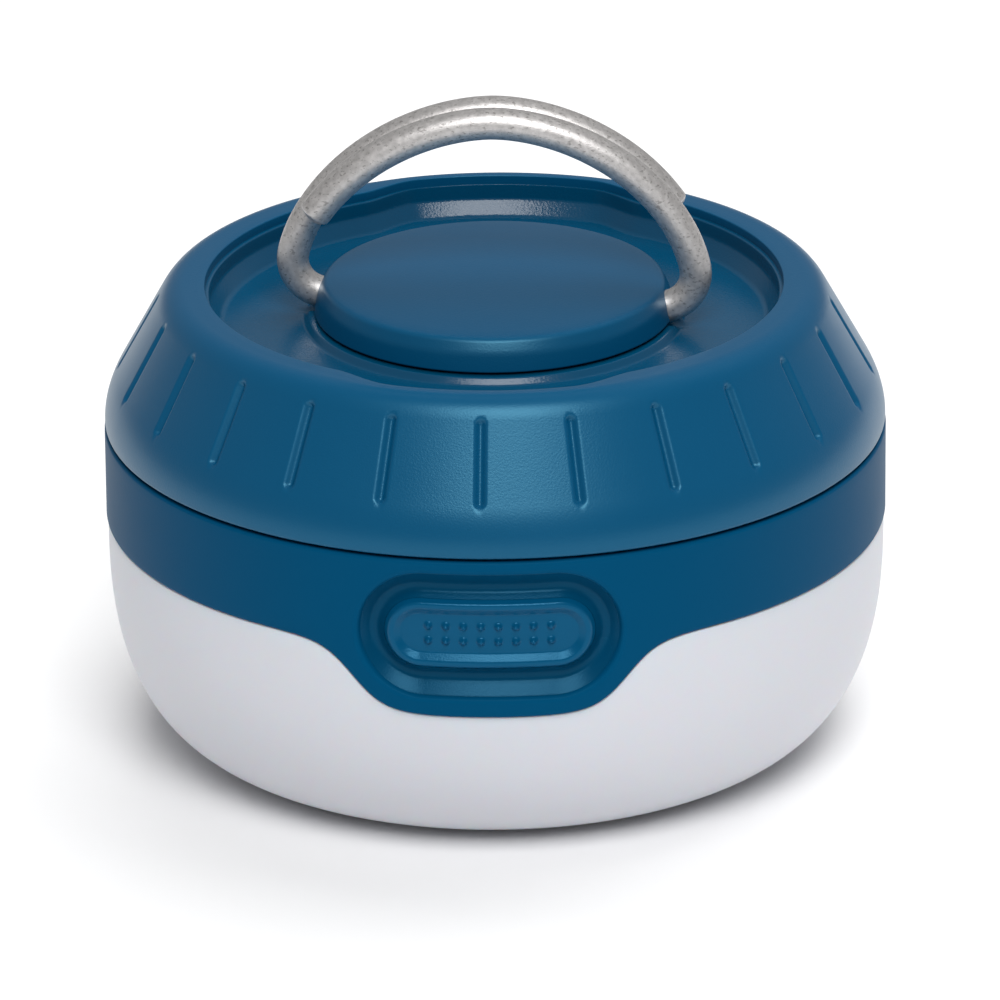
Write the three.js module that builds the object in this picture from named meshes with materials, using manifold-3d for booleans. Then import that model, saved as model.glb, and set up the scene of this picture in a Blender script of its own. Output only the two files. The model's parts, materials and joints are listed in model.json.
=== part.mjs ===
// A compact camping lantern with a screw-off cap and two folding wire hooks.
// Millimetres, +Z up. The origin is the centre of the flat base, and the button faces -Y.
import * as THREE from "three";
import { mergeVertices } from "three/addons/utils/BufferGeometryUtils.js";
import Module from "manifold-3d";

const wasm = await Module();
wasm.setup();

// ---------------------------------------------------------------- driving dimensions

const SEGMENTS = 48; // facets round the casing
const INNER_SEGMENTS = 32; // facets round the pieces inside it
const FIT_GAP = 0.3; // between pieces that touch on the real lantern

// Body
const SEAM_Z = 28; // height at which the cap meets the band
const SEAM_GAP = 0.25;
const BAND_RADIUS = 33.1; // the widest point of the lantern
const BAND_WALL = 1.2;
const BAND_BOTTOM_Z = SEAM_Z - 8.05;

// Diffuser: a flat base, then a rounded side that follows a superellipse
const BASE_RADIUS = 20.5;
const DIFFUSER_RADIUS = 32.95;
const DIFFUSER_FULL_Z = 19; // height at which the side has come upright
const DIFFUSER_POWER = 2.5;
const DIFFUSER_WALL = 1.7;
const DIFFUSER_NECK_RADIUS = 31.6;
const DIFFUSER_NECK_WALL = 1.05;
const DIFFUSER_NECK_TOP_Z = 22.4;

// The tongue of the band, under the button
const TONGUE_DROP = 5.85;
const TONGUE_FLAT = 7.3; // half width at its foot
const TONGUE_END = 15.8; // half width where it has run into the band

// Button: stadium outlines, width by height, on one centre
const BUTTON_Z = SEAM_Z - 6.75;
const RECESS = { width: 21.7, height: 10.84 };
const PAD = { width: 17.4, height: 6.1 };
const PAD_RADIUS = 32.75; // the pad's face follows the band's curve at this radius
const PAD_BACK_RADIUS = 29.9;
const BOOT_RADIUS = 31.5; // the floor of the trough round the pad
const BOOT_THICKNESS = 0.9;
const DOT_ROWS = 2;
const DOT_COLUMNS = 8;
const DOT_PITCH = 1.45;
const DOT_ROW_PITCH = 1.3;
const DOT_RADIUS = 0.3;
const BUTTON_TRAVEL = 0.6;

// Battery tray
const TRAY_FLOOR_Z = 17;
const TRAY_RADIUS = 30.3;
const FLANGE_RADIUS = BAND_RADIUS - BAND_WALL - FIT_GAP;
const FLANGE_Z = 22.7;
const DECK_Z = SEAM_Z - 0.35;
const DECK_THICKNESS = 1.35;
const NECK_INNER_RADIUS = 27.7;
const NECK_RADIUS = 28.9;
const NECK_TOP_Z = 31.9;
const BAY_HALF_LENGTH = 24.3;
const CHAMBER_RADIUS = 29;
const CHAMBER_START = 17.4; // distance of the bay's side walls from the middle
const FRONT_RIBS = [-16.4, -8, 8, 16.4]; // places along X of the ribs that divide a chamber
const REAR_RIBS = [-16.4, -8, 0, 8, 16.4];
const RIB_THICKNESS = 1.2;
const SWITCH_WALL_Y = -19; // the bay's wall is thicker behind the switch

// Three AAA cells lying side by side
const CELL_RADIUS = 5.25;
const CELL_LENGTH = 44.5;
const CELL_NUB_LENGTH = 0.9;
const CELL_NUB_RADIUS = 1.9;
const CELL_PITCH = 10.65;
const CELL_Z = 24.1;
const CRADLE_RADIUS = 5.5;
const PLATE_THICKNESS = 0.4;
const PLATE_FACE_X = 23.6; // inner face of the contact plates
const PLATE_REACH = { side: 4.2, up: 3.1 }; // from the axis of a cell
const DIMPLE_HEIGHT = 0.4;
const PLUS_END_X = PLATE_FACE_X - DIMPLE_HEIGHT - 0.15; // a cell stops just short of the dimple
const SPRING = { length: 1.25, wireRadius: 0.28, wide: 3.6, narrow: 1.7, turns: 2 };

// Screw thread between neck and cap: three starts, each a short helical lug
const THREAD_STARTS = 3;
const THREAD_LEAD = 8; // rise in one turn
const THREAD_SWEEP = 50; // degrees
const THREAD_HEIGHT = 1;
const NECK_LUG_RADIUS = 29.55;
const CAP_LUG_RADIUS = 29.2;
const NECK_LUG_Z = 30.2; // of the lug's lower end

// Cap
const CAP_CLOCKING = -1.3; // degrees past the button's centre line at which the cap comes tight
const CAP_RADIUS = 33.05;
const SIDE = { radius: 32.4, z: SEAM_Z + 3.4, taper: 0.553 }; // the conical side, and its slope
const SIDE_SKEW = 1.14; // a wall square to the cone, measured level
const SIDE_FOOT_Z = SIDE.z + 0.8; // where the upright foot has run into the cone
const RIM_INNER_RADIUS = 24.4;
const RIM_FLAT_RADIUS = 26;
const RIM_Z = SEAM_Z + 12.25;
const RING_WALL = 1.5;
const RING_LIP = 0.9; // depth of the rim's inner face
const SKIRT_INNER_RADIUS = 29.8;
const SKIRT_BOTTOM_Z = SEAM_Z + 0.25;
const DISH_WALL_RADIUS = 24.05;
const DISH_FLOOR_Z = SEAM_Z + 8.8;
const DISH_UNDER_Z = SEAM_Z + 7.4;
const COLLAR_RADIUS = 15.5; // raised seat under the hub
const COLLAR_Z = SEAM_Z + 9.4;
const NOTCH_DEPTH = 1.35; // the finger notches at the front and back of the rim
const NOTCH_FULL = 17; // degrees from the middle of the notch
const NOTCH_END = 30;

// Grip grooves of the cap
const GROOVES = 24;
const GROOVE_RADIUS = 0.55;
const GROOVE_LIFT = 0.15; // how far the groove's centre line floats off the surface
const GROOVE_START = SEAM_Z + 4.2;
const GROOVE_STOP = SEAM_Z + 10.5;

// Hub and hooks
const HUB_RADIUS = 15.2;
const HUB_BASE_Z = SEAM_Z + 9.65;
const HUB_EDGE_Z = SEAM_Z + 12.45;
const HUB_CROWN_Z = SEAM_Z + 12.9;
const WIRE_RADIUS = 1.35;
const PIVOT_Z = SEAM_Z + 10.5;
const PIVOT_Y = 1.5; // each hook's hinge line lies this far from the middle
const ARCH = { halfWidth: 17.25, height: 14.7, centre: 1.6, power: 1.84 }; // a superellipse
const ELBOW_RADIUS = 3;
const ELBOW_TURN = 99; // degrees, from the hinge line to the foot of the arch
const HOOK_TIP_HEIGHT = 8.2; // of the free end, above the hinge line
const PIN_START = 3.4; // the hook's pin runs from here out to the elbow
const PIN_HEAD = { radius: 1.85, length: 0.9 };
const PIN_GAP = 0.2;
const PIN_MOUTH = { start: 13.6, flare: 0.25 }; // the channel widens where the elbow begins
const HUB_SCREW_Y = 8.5;

// Electronics
const BOARD_RADIUS = 16.8;
const BOARD_THICKNESS = 1.6;
const BOARD_Z = 15.1;
const BOARD_SCREW_X = 12;
const LED_SIZE = 3;
const LED_HEIGHT = 1.25;
const LED_ORBIT = 8.5;
const REFLECTOR_Z = 13.7;
const REFLECTOR_THICKNESS = 1;
const REFLECTOR_FLAT_RADIUS = 17.5;
const REFLECTOR_RADIUS = 29.9;
const REFLECTOR_RISE = 3.2;
const SWITCH = { width: 6.2, height: 6.2, front: -26.8, back: -24.1 };
const SWITCH_BOARD = { width: 14, thickness: 1.2, bottom: 17.6, top: 26 };
const PLUNGER_RADIUS = 1.6;
const PLUNGER_FRONT_Y = -29.4;
const PLUNGER_LENGTH = 3.2;
const LEAD_RADIUS = 0.4;
const SCREW = { headRadius: 1.7, headHeight: 1.2, shaftRadius: 0.8 };

const degrees = THREE.MathUtils.degToRad;
const FAR = 60; // a length longer than the lantern, for cutting tools

// ---------------------------------------------------------------- materials

const paint = (color, roughness, metalness = 0) =>
  new THREE.MeshStandardMaterial({ color, roughness, metalness });

const MATERIALS = {
  capBlue: paint(0x085c86, 0.6),
  dishBlue: paint(0x075379, 0.25),
  bandBlue: paint(0x0a5780, 0.62),
  buttonBlue: paint(0x08527a, 0.6),
  frosted: paint(0xd8d8e2, 0.5),
  white: paint(0xf2f2ee, 0.5),
  greyPlastic: paint(0x55595c, 0.6),
  rubber: paint(0x222426, 0.8),
  steel: paint(0xb4b2ae, 0.4, 1),
  nickel: paint(0xcdc9bf, 0.3, 1),
  board: paint(0x14603a, 0.5),
  led: paint(0xf6e9a0, 0.3),
  cell: paint(0x30343a, 0.35, 0.6),
  switchBlack: paint(0x1c1c1e, 0.5),
  leadRed: paint(0xb0281e, 0.5),
  leadBlack: paint(0x1e1e1e, 0.5),
};

// ---------------------------------------------------------------- solids

// A closed geometry as a manifold-3d solid.
function solid(geometry) {
  const bare = geometry.index ? geometry.toNonIndexed() : geometry;
  bare.deleteAttribute("normal");
  bare.deleteAttribute("uv");
  const merged = mergeVertices(bare, 1e-4);
  const corners = merged.index.array;
  const triangles = [];
  for (let i = 0; i < corners.length; i += 3) {
    const [a, b, c] = corners.slice(i, i + 3);
    if (a !== b && b !== c && c !== a) triangles.push(a, b, c);
  }
  const body = new wasm.Manifold(
    new wasm.Mesh({
      numProp: 3,
      vertProperties: merged.attributes.position.array,
      triVerts: new Uint32Array(triangles),
    }),
  );
  if (body.volume() <= 0) throw new Error("a solid's faces point inwards");
  return body;
}

// A solid's surface as a geometry with flat facets.
function surface(body) {
  const mesh = body.getMesh();
  const geometry = new THREE.BufferGeometry();
  geometry.setAttribute("position", new THREE.BufferAttribute(mesh.vertProperties, 3));
  geometry.setIndex(new THREE.BufferAttribute(mesh.triVerts, 1));
  const faceted = geometry.toNonIndexed();
  faceted.computeVertexNormals();
  return faceted;
}

const joined = (bodies) => bodies.reduce((sum, body) => sum.add(body));
const without = (body, cutters) => cutters.reduce((rest, cutter) => rest.subtract(cutter), body);

// A profile of [radius, height] pairs turned round the Z axis.
function turned(profile, segments = SEGMENTS) {
  const points = profile.map(([radius, height]) => new THREE.Vector2(radius, height));
  const onAxis = points[0].x === 0 && points.at(-1).x === 0;
  if (THREE.ShapeUtils.area(points) < 0) points.reverse();
  if (!onAxis) points.push(points[0].clone());
  return solid(new THREE.LatheGeometry(points, segments).rotateX(Math.PI / 2));
}

// A box between two corners.
function block([x0, y0, z0], [x1, y1, z1]) {
  const box = new THREE.BoxGeometry(x1 - x0, y1 - y0, z1 - z0);
  return solid(box.translate((x0 + x1) / 2, (y0 + y1) / 2, (z0 + z1) / 2));
}

// An outline in the XY plane, raised from z0 to z1.
function raised(shape, z0, z1, curveSegments = 12) {
  const extruded = new THREE.ExtrudeGeometry(shape, {
    depth: z1 - z0,
    bevelEnabled: false,
    curveSegments,
  });
  return solid(extruded.translate(0, 0, z0));
}

// An outline drawn in X and Z, carried along Y from y0 to y1.
function drawn(shape, y0, y1, curveSegments = 8) {
  const extruded = new THREE.ExtrudeGeometry(shape, {
    depth: y1 - y0,
    bevelEnabled: false,
    curveSegments,
  });
  return solid(extruded.rotateX(Math.PI / 2).translate(0, y1, 0));
}

// A round bar along X, Y or Z from one end to the other.
function bar(axis, radius, from, to, centre, segments = 20) {
  const cylinder = new THREE.CylinderGeometry(radius, radius, to - from, segments);
  cylinder.translate(0, (from + to) / 2, 0);
  if (axis === "x") cylinder.rotateZ(-Math.PI / 2);
  if (axis === "z") cylinder.rotateX(Math.PI / 2);
  return solid(cylinder.translate(...centre));
}

// A round wire along a curve.
function wire(points, radius, steps, sides) {
  const section = new THREE.Shape().absarc(0, 0, radius, 0, 2 * Math.PI);
  return solid(
    new THREE.ExtrudeGeometry(section, {
      steps,
      curveSegments: sides,
      bevelEnabled: false,
      extrudePath: new THREE.CatmullRomCurve3(points, false, "centripetal"),
    }),
  );
}

// Points along a quadratic curve in a profile, its first and last point included.
function curved(from, control, to, pieces) {
  const curve = new THREE.QuadraticBezierCurve(
    new THREE.Vector2(...from),
    new THREE.Vector2(...control),
    new THREE.Vector2(...to),
  );
  return curve.getPoints(pieces).map((point) => [point.x, point.y]);
}

function stadium({ width, height }, margin, z) {
  const radius = height / 2 + margin;
  const reach = width / 2 - height / 2;
  const shape = new THREE.Shape();
  shape.absarc(reach, z, radius, -Math.PI / 2, Math.PI / 2);
  shape.absarc(-reach, z, radius, Math.PI / 2, 1.5 * Math.PI);
  return shape;
}

const polar = (radius, angle) => [
  radius * Math.sin(degrees(angle)),
  radius * Math.cos(degrees(angle)),
];

// ---------------------------------------------------------------- places of repeated pieces

const cellRows = [-CELL_PITCH, 0, CELL_PITCH];

const ledPlaces = [45, 135, 225, 315].map((angle) => polar(LED_ORBIT, angle));

// The board's screws stand in the valleys between the cells.
const boardScrewPlaces = [
  [-BOARD_SCREW_X, CELL_PITCH / 2],
  [BOARD_SCREW_X, CELL_PITCH / 2],
  [0, -CELL_PITCH / 2],
];

const hubScrewPlaces = [
  [0, -HUB_SCREW_Y],
  [0, HUB_SCREW_Y],
];

// ---------------------------------------------------------------- outlines of the body

// The rounded side of the diffuser, from the flat base up to where it stands upright.
function diffuserSide(inset, pieces) {
  const flat = BASE_RADIUS - inset * 0.6;
  const reach = DIFFUSER_RADIUS - inset - flat;
  const rise = DIFFUSER_FULL_Z - inset;
  const side = [];
  for (let i = 0; i <= pieces; i += 1) {
    const share = (i / pieces) ** 1.8;
    const spread = (1 - (1 - share) ** DIFFUSER_POWER) ** (1 / DIFFUSER_POWER);
    side.push([flat + reach * spread, inset + rise * share]);
  }
  return side;
}

// The tongue seen from the front, wider by the margin on each side and below.
function tongueOutline(margin) {
  const steps = 10;
  const top = BAND_BOTTOM_Z + 1;
  const edge = [];
  for (let i = 0; i <= steps; i += 1) {
    const arc = THREE.MathUtils.lerp(TONGUE_FLAT, TONGUE_END, i / steps);
    const fade = THREE.MathUtils.smoothstep(arc, TONGUE_FLAT, TONGUE_END);
    const x = BAND_RADIUS * Math.sin(arc / BAND_RADIUS);
    edge.push([x + margin, BAND_BOTTOM_Z - TONGUE_DROP * (1 - fade) - margin]);
  }
  const shape = new THREE.Shape();
  shape.moveTo(-edge.at(-1)[0], top);
  for (const [x, z] of edge.toReversed()) shape.lineTo(-x, z);
  for (const [x, z] of edge) shape.lineTo(x, z);
  shape.lineTo(edge.at(-1)[0], top);
  return shape;
}

// A circle that steps outward in the two finger notches.
function notchedCircle(radius) {
  const shape = new THREE.Shape();
  const points = [];
  for (let angle = 0; angle < 360; angle += 2.5) {
    const off = Math.min(angle % 180, 180 - (angle % 180));
    const open = 1 - THREE.MathUtils.smoothstep(off, NOTCH_FULL, NOTCH_END);
    points.push(new THREE.Vector2(...polar(radius + NOTCH_DEPTH * open, angle)));
  }
  return shape.setFromPoints(points.reverse());
}

// ---------------------------------------------------------------- body

function diffuser() {
  const outer = diffuserSide(0, 9);
  const inner = diffuserSide(DIFFUSER_WALL, 5);
  const shoulderZ = BAND_BOTTOM_Z - SEAM_GAP;
  const neckInner = DIFFUSER_NECK_RADIUS - DIFFUSER_NECK_WALL;
  const bowl = turned([
    [0, 0],
    ...outer,
    [DIFFUSER_RADIUS, shoulderZ],
    [DIFFUSER_NECK_RADIUS, shoulderZ],
    [DIFFUSER_NECK_RADIUS, DIFFUSER_NECK_TOP_Z],
    [neckInner, DIFFUSER_NECK_TOP_Z],
    [neckInner, DIFFUSER_FULL_Z + 1],
    ...inner.toReversed(),
    [0, DIFFUSER_WALL],
  ]);
  const tongueCut = drawn(tongueOutline(FIT_GAP), -FAR, -DIFFUSER_RADIUS / 2);
  const neckCut = block(
    [-TONGUE_END, -FAR, BAND_BOTTOM_Z - FIT_GAP],
    [TONGUE_END, -DIFFUSER_RADIUS / 2, DIFFUSER_NECK_TOP_Z + 1],
  );
  return without(bowl, [tongueCut, neckCut]);
}

function bandShell() {
  const inner = BAND_RADIUS - BAND_WALL;
  const edge = 0.3;
  const ring = (bottom, top) =>
    turned([
      [inner, bottom],
      [BAND_RADIUS - edge / 2, bottom],
      [BAND_RADIUS, bottom + edge],
      [BAND_RADIUS, top - edge],
      [BAND_RADIUS - edge, top],
      [inner, top],
    ]);
  const foot = BAND_BOTTOM_Z - TONGUE_DROP;
  const tongue = ring(foot, BAND_BOTTOM_Z + 3).intersect(drawn(tongueOutline(0), -FAR, 0));
  const band = ring(BAND_BOTTOM_Z, SEAM_Z - SEAM_GAP / 2).add(tongue);
  return band.subtract(drawn(stadium(RECESS, 0, BUTTON_Z), -FAR, 0));
}

// The soft trough round the pad.
function buttonBoot() {
  const trough = turned([
    [BOOT_RADIUS - BOOT_THICKNESS, BUTTON_Z - RECESS.height],
    [BOOT_RADIUS, BUTTON_Z - RECESS.height],
    [BOOT_RADIUS, BUTTON_Z + RECESS.height],
    [BOOT_RADIUS - BOOT_THICKNESS, BUTTON_Z + RECESS.height],
  ]);
  const outline = drawn(stadium(RECESS, -FIT_GAP, BUTTON_Z), -FAR, 0);
  const padHole = drawn(stadium(PAD, FIT_GAP, BUTTON_Z), -FAR, 0);
  return trough.intersect(outline).subtract(padHole);
}

// The pad that is pressed, with its two rows of dots.
function buttonPad() {
  const face = turned([
    [PAD_BACK_RADIUS, BUTTON_Z - PAD.height],
    [PAD_RADIUS, BUTTON_Z - PAD.height],
    [PAD_RADIUS, BUTTON_Z + PAD.height],
    [PAD_BACK_RADIUS, BUTTON_Z + PAD.height],
  ]);
  const plug = face.intersect(drawn(stadium(PAD, 0, BUTTON_Z), -FAR, 0));
  const dots = [];
  for (let row = 0; row < DOT_ROWS; row += 1) {
    for (let column = 0; column < DOT_COLUMNS; column += 1) {
      const angle = ((column - (DOT_COLUMNS - 1) / 2) * DOT_PITCH) / PAD_RADIUS;
      const dot = new THREE.SphereGeometry(DOT_RADIUS, 6, 4);
      dot.translate(
        PAD_RADIUS * Math.sin(angle),
        -PAD_RADIUS * Math.cos(angle),
        BUTTON_Z + (row - (DOT_ROWS - 1) / 2) * DOT_ROW_PITCH,
      );
      dots.push(solid(dot));
    }
  }
  return joined([plug, ...dots]);
}

// ---------------------------------------------------------------- battery tray and cells

// A chamber beside the bay, divided by ribs: the part of a disc beyond a straight wall.
// side is -1 in front, 1 behind.
function chamber(side, ribPlaces) {
  const half = Math.acos(CHAMBER_START / CHAMBER_RADIUS);
  const middle = (side * Math.PI) / 2;
  const shape = new THREE.Shape();
  shape.absarc(0, 0, CHAMBER_RADIUS, middle - half, middle + half);
  const room = raised(shape, TRAY_FLOOR_Z - 1, DECK_Z - DECK_THICKNESS, 12);
  const ribs = ribPlaces.map((x) =>
    block(
      [x - RIB_THICKNESS / 2, -CHAMBER_RADIUS, TRAY_FLOOR_Z - 2],
      [x + RIB_THICKNESS / 2, CHAMBER_RADIUS, DECK_Z],
    ),
  );
  return without(room, ribs);
}

// The front chamber is shallower between its middle ribs, where the switch stands.
function frontChamber() {
  const [from, to] = FRONT_RIBS.slice(1, 3);
  const wall = block([from, SWITCH_WALL_Y, TRAY_FLOOR_Z - 2], [to, 0, DECK_Z]);
  return without(chamber(-1, FRONT_RIBS), [wall]);
}

// A short helical lug between two radii. It climbs counter-clockwise, and polar angles grow clockwise.
function lug(innerRadius, outerRadius, z, start) {
  const bent = new THREE.BoxGeometry(1, 1, 1, 6, 1, 1);
  const position = bent.attributes.position;
  for (let i = 0; i < position.count; i += 1) {
    const share = position.getX(i) + 0.5;
    const radius = THREE.MathUtils.lerp(outerRadius, innerRadius, position.getY(i) + 0.5);
    const angle = start - share * THREAD_SWEEP;
    const rise = (THREAD_LEAD * share * THREAD_SWEEP) / 360;
    const [x, y] = polar(radius, angle);
    position.setXYZ(i, x, y, z + rise + position.getZ(i) * THREAD_HEIGHT);
  }
  return solid(bent);
}

function threadLugs(innerRadius, outerRadius, z) {
  const lugs = [];
  for (let i = 0; i < THREAD_STARTS; i += 1) {
    lugs.push(lug(innerRadius, outerRadius, z, (i * 360) / THREAD_STARTS));
  }
  return lugs;
}

function batteryTray() {
  const cup = turned(
    [
      [0, TRAY_FLOOR_Z],
      [TRAY_RADIUS, TRAY_FLOOR_Z],
      [TRAY_RADIUS, FLANGE_Z],
      [FLANGE_RADIUS, FLANGE_Z],
      [FLANGE_RADIUS, DECK_Z],
      [NECK_RADIUS, DECK_Z],
      [NECK_RADIUS, NECK_TOP_Z],
      [NECK_INNER_RADIUS, NECK_TOP_Z],
      [NECK_INNER_RADIUS, DECK_Z],
      [0, DECK_Z],
    ],
    INNER_SEGMENTS,
  );
  const bayHalfWidth = CELL_PITCH + CRADLE_RADIUS + 0.1;
  const bay = block(
    [-BAY_HALF_LENGTH, -bayHalfWidth, CELL_Z - 0.3],
    [BAY_HALF_LENGTH, bayHalfWidth, DECK_Z],
  );
  const slotFrom = PLATE_FACE_X - FIT_GAP;
  const cradleEnd = (slotFrom + BAY_HALF_LENGTH) / 2;
  const cradles = cellRows.map((y) => bar("x", CRADLE_RADIUS, -cradleEnd, cradleEnd, [0, y, CELL_Z]));
  const slotFloor = CELL_Z - CRADLE_RADIUS + 0.4;
  const slotHalfWidth = bayHalfWidth - 0.4;
  const slots = [
    block([slotFrom, -slotHalfWidth, slotFloor], [BAY_HALF_LENGTH, slotHalfWidth, CELL_Z]),
    block([-BAY_HALF_LENGTH, -slotHalfWidth, slotFloor], [-slotFrom, slotHalfWidth, CELL_Z]),
  ];
  const buttonWindow = drawn(stadium(RECESS, 0.8, BUTTON_Z), -FAR, -CHAMBER_RADIUS + 1.4);
  const pilotHoles = boardScrewPlaces.map(([x, y]) =>
    bar("z", SCREW.shaftRadius + PIN_GAP, TRAY_FLOOR_Z - 1, TRAY_FLOOR_Z + 3.3, [x, y, 0], 10),
  );
  const rooms = [bay, ...cradles, ...slots, frontChamber(), chamber(1, REAR_RIBS)];
  const body = without(cup, [...rooms, buttonWindow, ...pilotHoles]);
  return joined([body, ...threadLugs(NECK_RADIUS - 0.2, NECK_LUG_RADIUS, NECK_LUG_Z)]);
}

// A cell with its positive end towards +X or -X.
function cell(row, direction) {
  const start = PLUS_END_X - CELL_LENGTH;
  const shoulder = PLUS_END_X - CELL_NUB_LENGTH;
  const profile = [
    [0, start],
    [CELL_RADIUS - 0.5, start],
    [CELL_RADIUS, start + 0.5],
    [CELL_RADIUS, shoulder - 0.5],
    [CELL_RADIUS - 0.5, shoulder],
    [CELL_NUB_RADIUS, shoulder],
    [CELL_NUB_RADIUS, PLUS_END_X],
    [0, PLUS_END_X],
  ];
  return placedAlongX(turned(profile, 18), direction, row);
}

// Turns a solid made along +Z so that it lies along +X or -X at one row of the bay.
function placedAlongX(body, direction, row) {
  return solid(
    surface(body)
      .rotateY((direction * Math.PI) / 2)
      .translate(0, row, CELL_Z),
  );
}

// A conical coil spring that leans on the negative end of a cell.
function spring(row, direction) {
  const { length, wireRadius, wide, narrow, turns } = SPRING;
  const pieces = 20;
  const seat = PLATE_FACE_X - wireRadius - 0.12;
  const points = [];
  for (let i = 0; i <= pieces; i += 1) {
    const share = i / pieces;
    const angle = share * turns * 2 * Math.PI;
    const radius = THREE.MathUtils.lerp(wide, narrow, share);
    const [x, y] = [radius * Math.cos(angle), radius * Math.sin(angle)];
    points.push(new THREE.Vector3(x, y, seat - share * length));
  }
  return placedAlongX(wire(points, wireRadius, 30, 2), direction, row);
}

// A contact plate over some rows of one end, with a dimple for each positive end.
function contactPlate(rows, direction, dimpleRow) {
  const { side, up } = PLATE_REACH;
  const face = direction * PLATE_FACE_X;
  const back = direction * (PLATE_FACE_X + PLATE_THICKNESS);
  const low = [Math.min(face, back), Math.min(...rows) - side, CELL_Z - side];
  const high = [Math.max(face, back), Math.max(...rows) + side, CELL_Z + up];
  const plate = block(low, high);
  if (dimpleRow === null) return plate;
  const dimple = turned(
    [
      [0, PLATE_FACE_X - DIMPLE_HEIGHT],
      [0.9, PLATE_FACE_X - DIMPLE_HEIGHT],
      [1.5, PLATE_FACE_X + PLATE_THICKNESS / 2],
      [0, PLATE_FACE_X + PLATE_THICKNESS / 2],
    ],
    12,
  );
  return plate.add(placedAlongX(dimple, direction, dimpleRow));
}

// ---------------------------------------------------------------- electronics

function mainBoard() {
  const disc = bar("z", BOARD_RADIUS, BOARD_Z, BOARD_Z + BOARD_THICKNESS, [0, 0, 0], 32);
  const holes = boardScrewPlaces.map(([x, y]) =>
    bar("z", SCREW.shaftRadius + PIN_GAP, BOARD_Z - 1, BOARD_Z + 3, [x, y, 0], 10),
  );
  return without(disc, holes);
}

function led([x, y]) {
  const half = LED_SIZE / 2;
  const top = BOARD_Z - FIT_GAP;
  return block([x - half, y - half, top - LED_HEIGHT], [x + half, y + half, top]);
}

// A white disc with a rising outer cone, which throws the light down and outwards.
function reflectorPlate() {
  const rimTop = REFLECTOR_Z + REFLECTOR_RISE;
  const plate = turned(
    [
      [0, REFLECTOR_Z],
      [REFLECTOR_FLAT_RADIUS, REFLECTOR_Z],
      [REFLECTOR_RADIUS, rimTop - REFLECTOR_THICKNESS],
      [REFLECTOR_RADIUS, rimTop - FIT_GAP],
      [REFLECTOR_FLAT_RADIUS, REFLECTOR_Z + REFLECTOR_THICKNESS],
      [0, REFLECTOR_Z + REFLECTOR_THICKNESS],
    ],
    INNER_SEGMENTS,
  );
  const half = LED_SIZE / 2 + FIT_GAP;
  const windows = ledPlaces.map(([x, y]) =>
    block([x - half, y - half, REFLECTOR_Z - 1], [x + half, y + half, REFLECTOR_Z + 3]),
  );
  const holes = boardScrewPlaces.map(([x, y]) =>
    bar("z", SCREW.shaftRadius + PIN_GAP, REFLECTOR_Z - 1, REFLECTOR_Z + 3, [x, y, 0], 10),
  );
  return without(plate, [...windows, ...holes]);
}

// A pan-head screw with a cross recess, its head downwards and its shaft pointing up.
function screw([x, y], headTop, length) {
  const { headRadius, headHeight, shaftRadius } = SCREW;
  const headBottom = headTop - headHeight;
  const body = turned(
    [
      [0, headBottom],
      [headRadius - 0.4, headBottom],
      [headRadius, headBottom + 0.5],
      [headRadius, headTop],
      [shaftRadius, headTop],
      [shaftRadius, headTop + length - 0.6],
      [0, headTop + length],
    ],
    10,
  );
  const long = 0.95;
  const narrow = 0.22;
  const deep = headBottom + 0.7;
  const cross = [
    block([-long, -narrow, headBottom - 1], [long, narrow, deep]),
    block([-narrow, -long, headBottom - 1], [narrow, long, deep]),
  ];
  return without(body, cross).translate([x, y, 0]);
}

function switchBoard() {
  const half = SWITCH_BOARD.width / 2;
  const front = SWITCH.back + FIT_GAP;
  return block(
    [-half, front, SWITCH_BOARD.bottom],
    [half, front + SWITCH_BOARD.thickness, SWITCH_BOARD.top],
  );
}

function switchBody() {
  const { width, height, front, back } = SWITCH;
  const body = block(
    [-width / 2, front, BUTTON_Z - height / 2],
    [width / 2, back, BUTTON_Z + height / 2],
  );
  const well = PLUNGER_FRONT_Y + PLUNGER_LENGTH + BUTTON_TRAVEL + FIT_GAP;
  return body.subtract(bar("y", PLUNGER_RADIUS + PIN_GAP, front - 1, well, [0, 0, BUTTON_Z], 16));
}

function switchPlunger() {
  const back = PLUNGER_FRONT_Y + PLUNGER_LENGTH;
  return bar("y", PLUNGER_RADIUS, PLUNGER_FRONT_Y, back, [0, 0, BUTTON_Z], 16);
}

// A lead from the back of the switch's board down to the edge of the main board.
function lead(x) {
  const start = SWITCH.back + FIT_GAP + SWITCH_BOARD.thickness + FIT_GAP;
  const points = [
    [x, start, 18.6],
    [x, start + 0.8, 18.4],
    [x, start + 1.5, 17.4],
    [x, start + 2.4, 16.4],
    [x, start + 3.6, 16.1],
    [x, -BOARD_RADIUS - FIT_GAP, 16.0],
  ];
  return wire(points.map((point) => new THREE.Vector3(...point)), LEAD_RADIUS, 8, 3);
}

// ---------------------------------------------------------------- cap

// The cone of the cap's side, moved inward by an inset.
const sideRadius = (z, inset) => SIDE.radius - SIDE.taper * (z - SIDE.z) - inset * SIDE_SKEW;

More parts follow.
